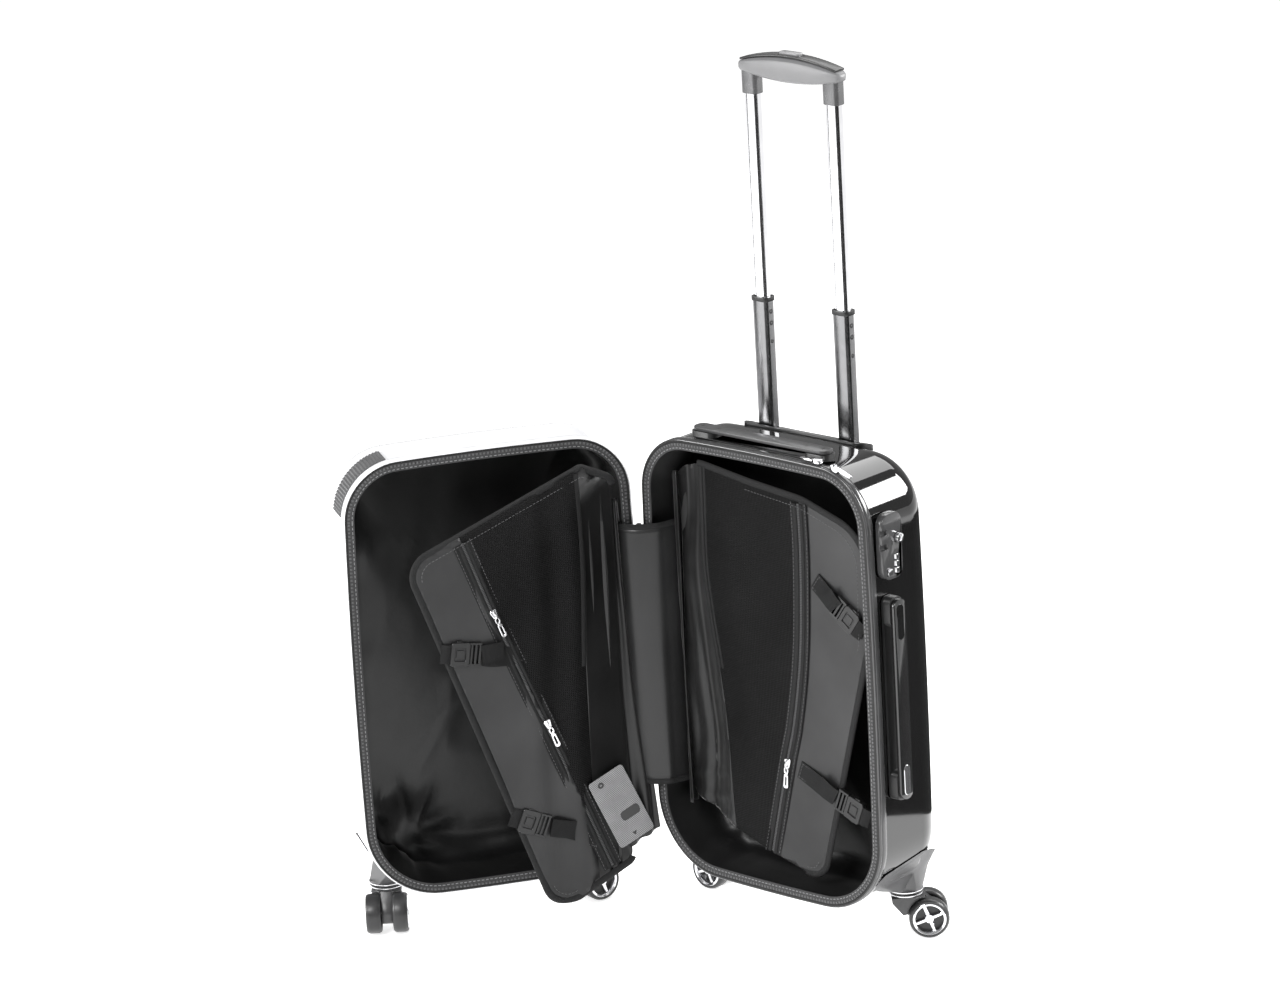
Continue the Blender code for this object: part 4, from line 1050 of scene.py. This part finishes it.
def hugging(half, corner):
    """Draws a caster housing in against its shell's rounded lower corner."""
    def warp(co):
        p = HALF[half].inverted() @ co
        drop = Z0 + BOTTOM_RADIUS - p.z
        if p.z > 0.0580 and drop > 0:
            inset = BOTTOM_RADIUS - math.sqrt(BOTTOM_RADIUS ** 2 - drop ** 2) - 0.0012
            inset *= min(1.0, (p.z - 0.0580) / 0.012)
            side = p.x - HINGE_OFFSET if corner == "hinge" else HINGE_OFFSET + WIDTH - p.x
            side = max(side, inset)
            p.x = HINGE_OFFSET + side if corner == "hinge" else HINGE_OFFSET + WIDTH - side
        return HALF[half] @ p
    return warp


def add_caster(place):
    """Housing, fork, a pair of wheels with their axle, and the two swivel rings."""
    half, corner = place.split("_")
    housing_body, fork_body, wheel_body = half + "_half", "caster_" + place, "wheels_" + place
    polished("caster_housing_" + place, "grey_plastic", "grey_plastic", housing_body, 0.0007,
             warp=hugging(half, corner))
    polished("caster_fork_" + place, "fork_plastic", "grey_plastic", fork_body, 0.0008)
    joint = JOINTS["wheels_%s_spin" % place]
    axis, centre = Vector(joint["axis"]), Vector(joint["pos_m"])
    tyre, bright, dish = wheel_side()
    shapes = {"tyre": [], "rim": [], "dish": []}
    for side in (-1, 1):
        turn = (axis * side).to_track_quat("Z", "Y").to_matrix().to_4x4()
        place_at = Matrix.Translation(centre) @ turn @ Matrix.Translation((0, 0, 0.0065))
        for name, shape in (("tyre", tyre), ("rim", bright), ("dish", dish)):
            shapes[name].append(moved(shape, place_at))
    axle = turned([(0.0001, -0.0100), (0.0028, -0.0100), (0.0028, 0.0100), (0.0001, 0.0100)], 20)
    axle = moved(axle, Matrix.Translation(centre) @ axis.to_track_quat("Z", "Y").to_matrix().to_4x4())
    piece("wheel_tyres_" + place, join(*shapes["tyre"]), "tyre", wheel_body, "wheel",
          stands_for=["caster_wheels_" + place])
    piece("wheel_rims_" + place, join(*shapes["rim"], axle), "chrome", wheel_body, "chrome")
    piece("wheel_discs_" + place, join(*shapes["dish"]), "black_plastic", wheel_body, "black_plastic")
    swivel = Vector(JOINTS["caster_%s_swivel" % place]["pos_m"])
    for name, radius, z, body in (("seat_ring_", 0.0190, 0.0522, housing_body),
                                  ("swivel_ring_", 0.0182, 0.0476, fork_body)):
        collar = turned([(radius - 0.0010, 0.0), (radius + 0.0006, 0.0003), (radius + 0.0008, 0.0009),
                         (radius + 0.0006, 0.0015), (radius - 0.0010, 0.0018)], 48, closed=True)
        piece(name + place, moved(collar, Matrix.Translation((swivel.x, swivel.y, z))), "chrome", body,
              "chrome")


for place in ("back_outer", "back_hinge", "front_outer", "front_hinge"):
    add_caster(place)


# ---------------------------------------------------------------- trolley, handles, lock

def squircle(width, depth, steps=64, power=2 / 3.4):
    """A rounded section whose faces bow gently."""
    points = []
    for k in range(steps):
        c, s = math.cos(2 * math.pi * k / steps), math.sin(2 * math.pi * k / steps)
        points.append((math.copysign(abs(c) ** power, c) * width / 2,
                       math.copysign(abs(s) ** power, s) * depth / 2))
    return points


def add_trolley():
    """Tubes in three stages, sleeves under the grip, pin holes drawn as near-black discs of painted shade,
    and the grip with its button.
    """
    for side in ("left", "right"):
        low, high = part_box("trolley_upper_tube_" + side)
        crown = Matrix.Translation(((low.x + high.x) / 2, (low.y + high.y) / 2, 0))
        tube = loft([[(p[0], p[1], z) for p in squircle(high.x - low.x - i, high.y - low.y - i)]
                     for z, i in ((low.z, 0.002), (low.z, 0), (high.z, 0), (high.z, 0.002))])
        piece("trolley_upper_tube_%s_finish" % side, moved(tube, crown), "tube_chrome", "trolley_upper",
              "chrome",
              stands_for=["trolley_upper_tube_" + side], smooth=30)
        polished("trolley_lower_tube_" + side, "tube_dark", "dark_chrome", "trolley_lower", 0.0)
        polished("trolley_fixed_tube_" + side, "tube_dark", "dark_chrome", "back_half", 0.0)
        polished("trolley_collar_" + side, "black_plastic", "black_plastic", "trolley_lower", 0.0005)
        low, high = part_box("trolley_lower_tube_" + side)
        y = (low.y + high.y) / 2
        # Each pin hole is a near-black disc on the tube: painted shade for the dark inside of the hole.
        hole_shade_discs = []
        for z, radius in ((high.z - 0.014, 0.0024), (high.z - 0.027, 0.0024), (high.z - 0.048, 0.0019)):
            disc = turned([(0.0001, -0.0006), (radius, -0.0006), (radius + 0.0005, 0.0001), (radius, 0.0003),
                           (0.0001, -0.0001)], 24)
            turn = Matrix.Translation((high.x, y, z)) @ Matrix.Rotation(math.pi / 2, 4, "Y")
            hole_shade_discs.append(moved(disc, turn))
        piece("trolley_pin_holes_" + side, join(*hole_shade_discs), "dark_window", "trolley_lower", "black_plastic")
        low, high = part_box("trolley_upper_tube_" + side)
        x, y = (low.x + high.x) / 2, (low.y + high.y) / 2
        sleeve = frame_slab(rectangle(0.0214, 0.0154, 0.0045, (x, y)),
                            rectangle(0.0208, 0.0148, 0.0042, (x, y)),
                            0.9305, 0.9570, 0.0001)
        piece("grip_sleeve_" + side, sleeve, "sleeve_grey", "trolley_upper", "black_plastic")
    polished("trolley_foot", "black_plastic", "black_plastic", "back_half", 0.0006)
    polished("trolley_bezel", "black_plastic", "black_plastic", "back_half", 0.0010)
    polished("grip_body", "grip_grey", "grip_plastic", "trolley_upper", 0.0008)
    polished("grip_cap", "black_plastic", "black_plastic", "trolley_upper", 0.0006)
    polished("grip_button", "button_grey", "chrome", "grip_button", 0.0006)


def add_handles():
    """Top and side carry handles."""
    polished("top_handle_base", "black_plastic", "black_plastic", "back_half", 0.0006)
    polished("top_handle", "handle_plastic", "gloss_handle", "top_handle", 0.0012)
    polished("side_handle_base", "black_plastic", "black_plastic", "back_half", 0.0006)
    polished("side_handle", "handle_gloss", "gloss_handle", "side_handle", 0.0012)
    low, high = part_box("top_handle")
    pins = []
    for x in (low.x + 0.010, low.x + 0.034, high.x - 0.034, high.x - 0.010):
        disc = turned([(0.0001, -0.0004), (0.0020, -0.0004), (0.0024, 0.0002), (0.0016, 0.0004),
                       (0.0001, -0.0001)], 24)
        pins.append(moved(disc, Matrix.Translation((x, (low.y + high.y) / 2, high.z))))
    piece("top_handle_pins", join(*pins), "dark_window", "top_handle", "black_plastic")
    low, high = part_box("side_handle")
    turn = Matrix.Translation((high.x, (low.y + high.y) / 2, 0)) @ Matrix(
        ((0, 0, 1, 0), (1, 0, 0, 0), (0, 1, 0, 0), (0, 0, 0, 1)))
    inset = slab(rectangle(0.0110, 0.040, 0.0050, (0, high.z - 0.026)), -0.0003, 0.0005, 0.0003)
    piece("side_handle_inset", moved(inset, turn), "black_gloss", "side_handle", "gloss_handle")
    badge = slab(rectangle(0.0100, 0.034, 0.0048, (0, low.z + 0.022)), -0.0003, 0.0010, 0.0004)
    piece("side_handle_badge", moved(badge, turn), "chrome", "side_handle", "chrome")


def add_lock():
    """Lock with knurled dials, the case zip's sliders and the hinge tape."""
    polished("lock_body", "lock_plastic", "grey_plastic", "back_half", 0.0008)
    polished("lock_key_cylinder", "chrome", "chrome", "lock_key", 0.0004)
    polished("lock_button", "chrome", "chrome", "lock_button", 0.0004)
    for number in (1, 2, 3):
        name = "lock_dial_%d" % number
        low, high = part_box(name)
        centre = (low + high) / 2
        radius, half = (high.x - low.x) / 2, (high.z - low.z) / 2
        steps = 60
        rings = []
        for share, z in ((0.86, -half), (1.0, -half + 0.0006), (1.0, half - 0.0006), (0.86, half)):
            ring_points = []
            for k in range(steps):
                knurl = 1.0 if k % 6 < 4 else 0.94
                angle = 2 * math.pi * k / steps
                r = radius * share * knurl
                ring_points.append((centre.x + r * math.cos(angle), centre.y + r * math.sin(angle),
                                    centre.z + z))
            rings.append(ring_points)
        piece(name + "_finish", loft(rings), "chrome", name, "chrome", stands_for=[name], smooth=30)
    polished("zip_slider_1", "chrome", "chrome", "zip_slider_1", 0.0006)
    polished("zip_slider_2", "chrome", "chrome", "zip_slider_2", 0.0006)
    polished("hinge_tape", "binding", "zip_tape", "back_half", 0.0)


add_trolley()
add_handles()
add_lock()


# ---------------------------------------------------------------- floor, light and camera

def add_stage():
    """Pale floor that emits a little, with black cards for the gloss and chrome to reflect."""
    floor = bpy.data.objects.new("floor", bpy.data.meshes.new("floor"))
    size = 60.0
    floor.data.from_pydata([(-size, -size, 0), (size, -size, 0), (size, size, 0), (-size, size, 0)], [],
                           [(0, 1, 2, 3)])
    paint = bpy.data.materials.new("floor_paint")
    paint.use_nodes = True
    shader = paint.node_tree.nodes["Principled BSDF"]
    shader.inputs["Base Color"].default_value = (0.85, 0.85, 0.85, 1)
    shader.inputs["Roughness"].default_value = 0.7
    shader.inputs["Emission Color"].default_value = (1, 1, 1, 1)
    shader.inputs["Emission Strength"].default_value = 0.72
    floor.data.materials.append(paint)
    bpy.context.scene.collection.objects.link(floor)
    add_flag("flag_right", (0.24, 0.10), (0.45, 2.05), (-20, 118))
    add_flag("flag_front", (0.15, 0.20), (1.75, 9.0), (-96, 22))
    add_flag("flag_left", (0.15, 0.20), (1.75, 9.0), (-150, -141))
    add_flag("flag_behind", (0.15, 0.20), (1.75, 9.0), (136, 160))


def add_flag(name, centre, radii, degrees):
    """Black card just over the floor, shaped as part of a ring, that only reflections see."""
    near, far = [], []
    for k in range(25):
        angle = math.radians(degrees[0] + (degrees[1] - degrees[0]) * k / 24)
        near.append((centre[0] + radii[0] * math.cos(angle), centre[1] + radii[0] * math.sin(angle), 0.001))
        far.append((centre[0] + radii[1] * math.cos(angle), centre[1] + radii[1] * math.sin(angle), 0.001))
    flag = bpy.data.objects.new(name, bpy.data.meshes.new(name))
    flag.data.from_pydata(near + far, [], [(k, k + 1, k + 26, k + 25) for k in range(24)])
    card = bpy.data.materials.new(name + "_card")
    card.use_nodes = True
    shader = card.node_tree.nodes["Principled BSDF"]
    shader.inputs["Base Color"].default_value = (0.01, 0.01, 0.01, 1)
    shader.inputs["Roughness"].default_value = 0.9
    flag.data.materials.append(card)
    flag.visible_camera = flag.visible_diffuse = flag.visible_shadow = False
    bpy.context.scene.collection.objects.link(flag)


def add_light(name, position, target, size, power):
    data = bpy.data.lights.new(name, "AREA")
    data.shape, data.size, data.size_y, data.energy = "RECTANGLE", size[0], size[1], power
    lamp = bpy.data.objects.new(name, data)
    lamp.location = position
    lamp.rotation_euler = (Vector(target) - Vector(position)).to_track_quat("-Z", "Y").to_euler()
    lamp.visible_camera = False
    bpy.context.scene.collection.objects.link(lamp)


def add_lights():
    world = bpy.data.worlds.new("studio")
    world.use_nodes = True
    plain = world.node_tree.nodes["Background"]
    plain.inputs["Color"].default_value = (1, 1, 1, 1)
    plain.inputs["Strength"].default_value = 0.32
    bpy.context.scene.world = world
    bpy.context.scene.view_settings.view_transform = "Standard"
    add_light("key", (0.6, -3.0, 2.8), (0, 0, 0.3), (1.3, 1.3), 95)
    add_light("fill", (-1.9, -2.6, 1.3), (-0.2, -0.1, 0.3), (1.2, 1.4), 75)
    add_light("side", (1.52, 1.63, 1.50), (0.28, 0.10, 0.52), (1.5, 0.90), 75)
    add_light("top", (-0.5, 1.7, 2.7), (0.1, 0.1, 0.5), (2.6, 1.6), 45)


def add_camera():
    forward, up = Vector((-0.6579, 0.6971, -0.2852)), Vector((-0.1545, 0.2457, 0.9570))
    right = forward.cross(up).normalized()
    up = right.cross(forward).normalized()
    data = bpy.data.cameras.new("camera")
    data.sensor_width, data.lens, data.clip_end = 36.0, 160.8, 100.0
    camera = bpy.data.objects.new("camera", data)
    matrix = Matrix((right, up, -forward)).transposed().to_4x4()
    matrix.translation = HINGE + Vector((4.1717, -4.4152, 2.2918))
    camera.matrix_world = matrix
    bpy.context.scene.collection.objects.link(camera)
    bpy.context.scene.camera = camera


add_stage()
add_lights()
add_camera()
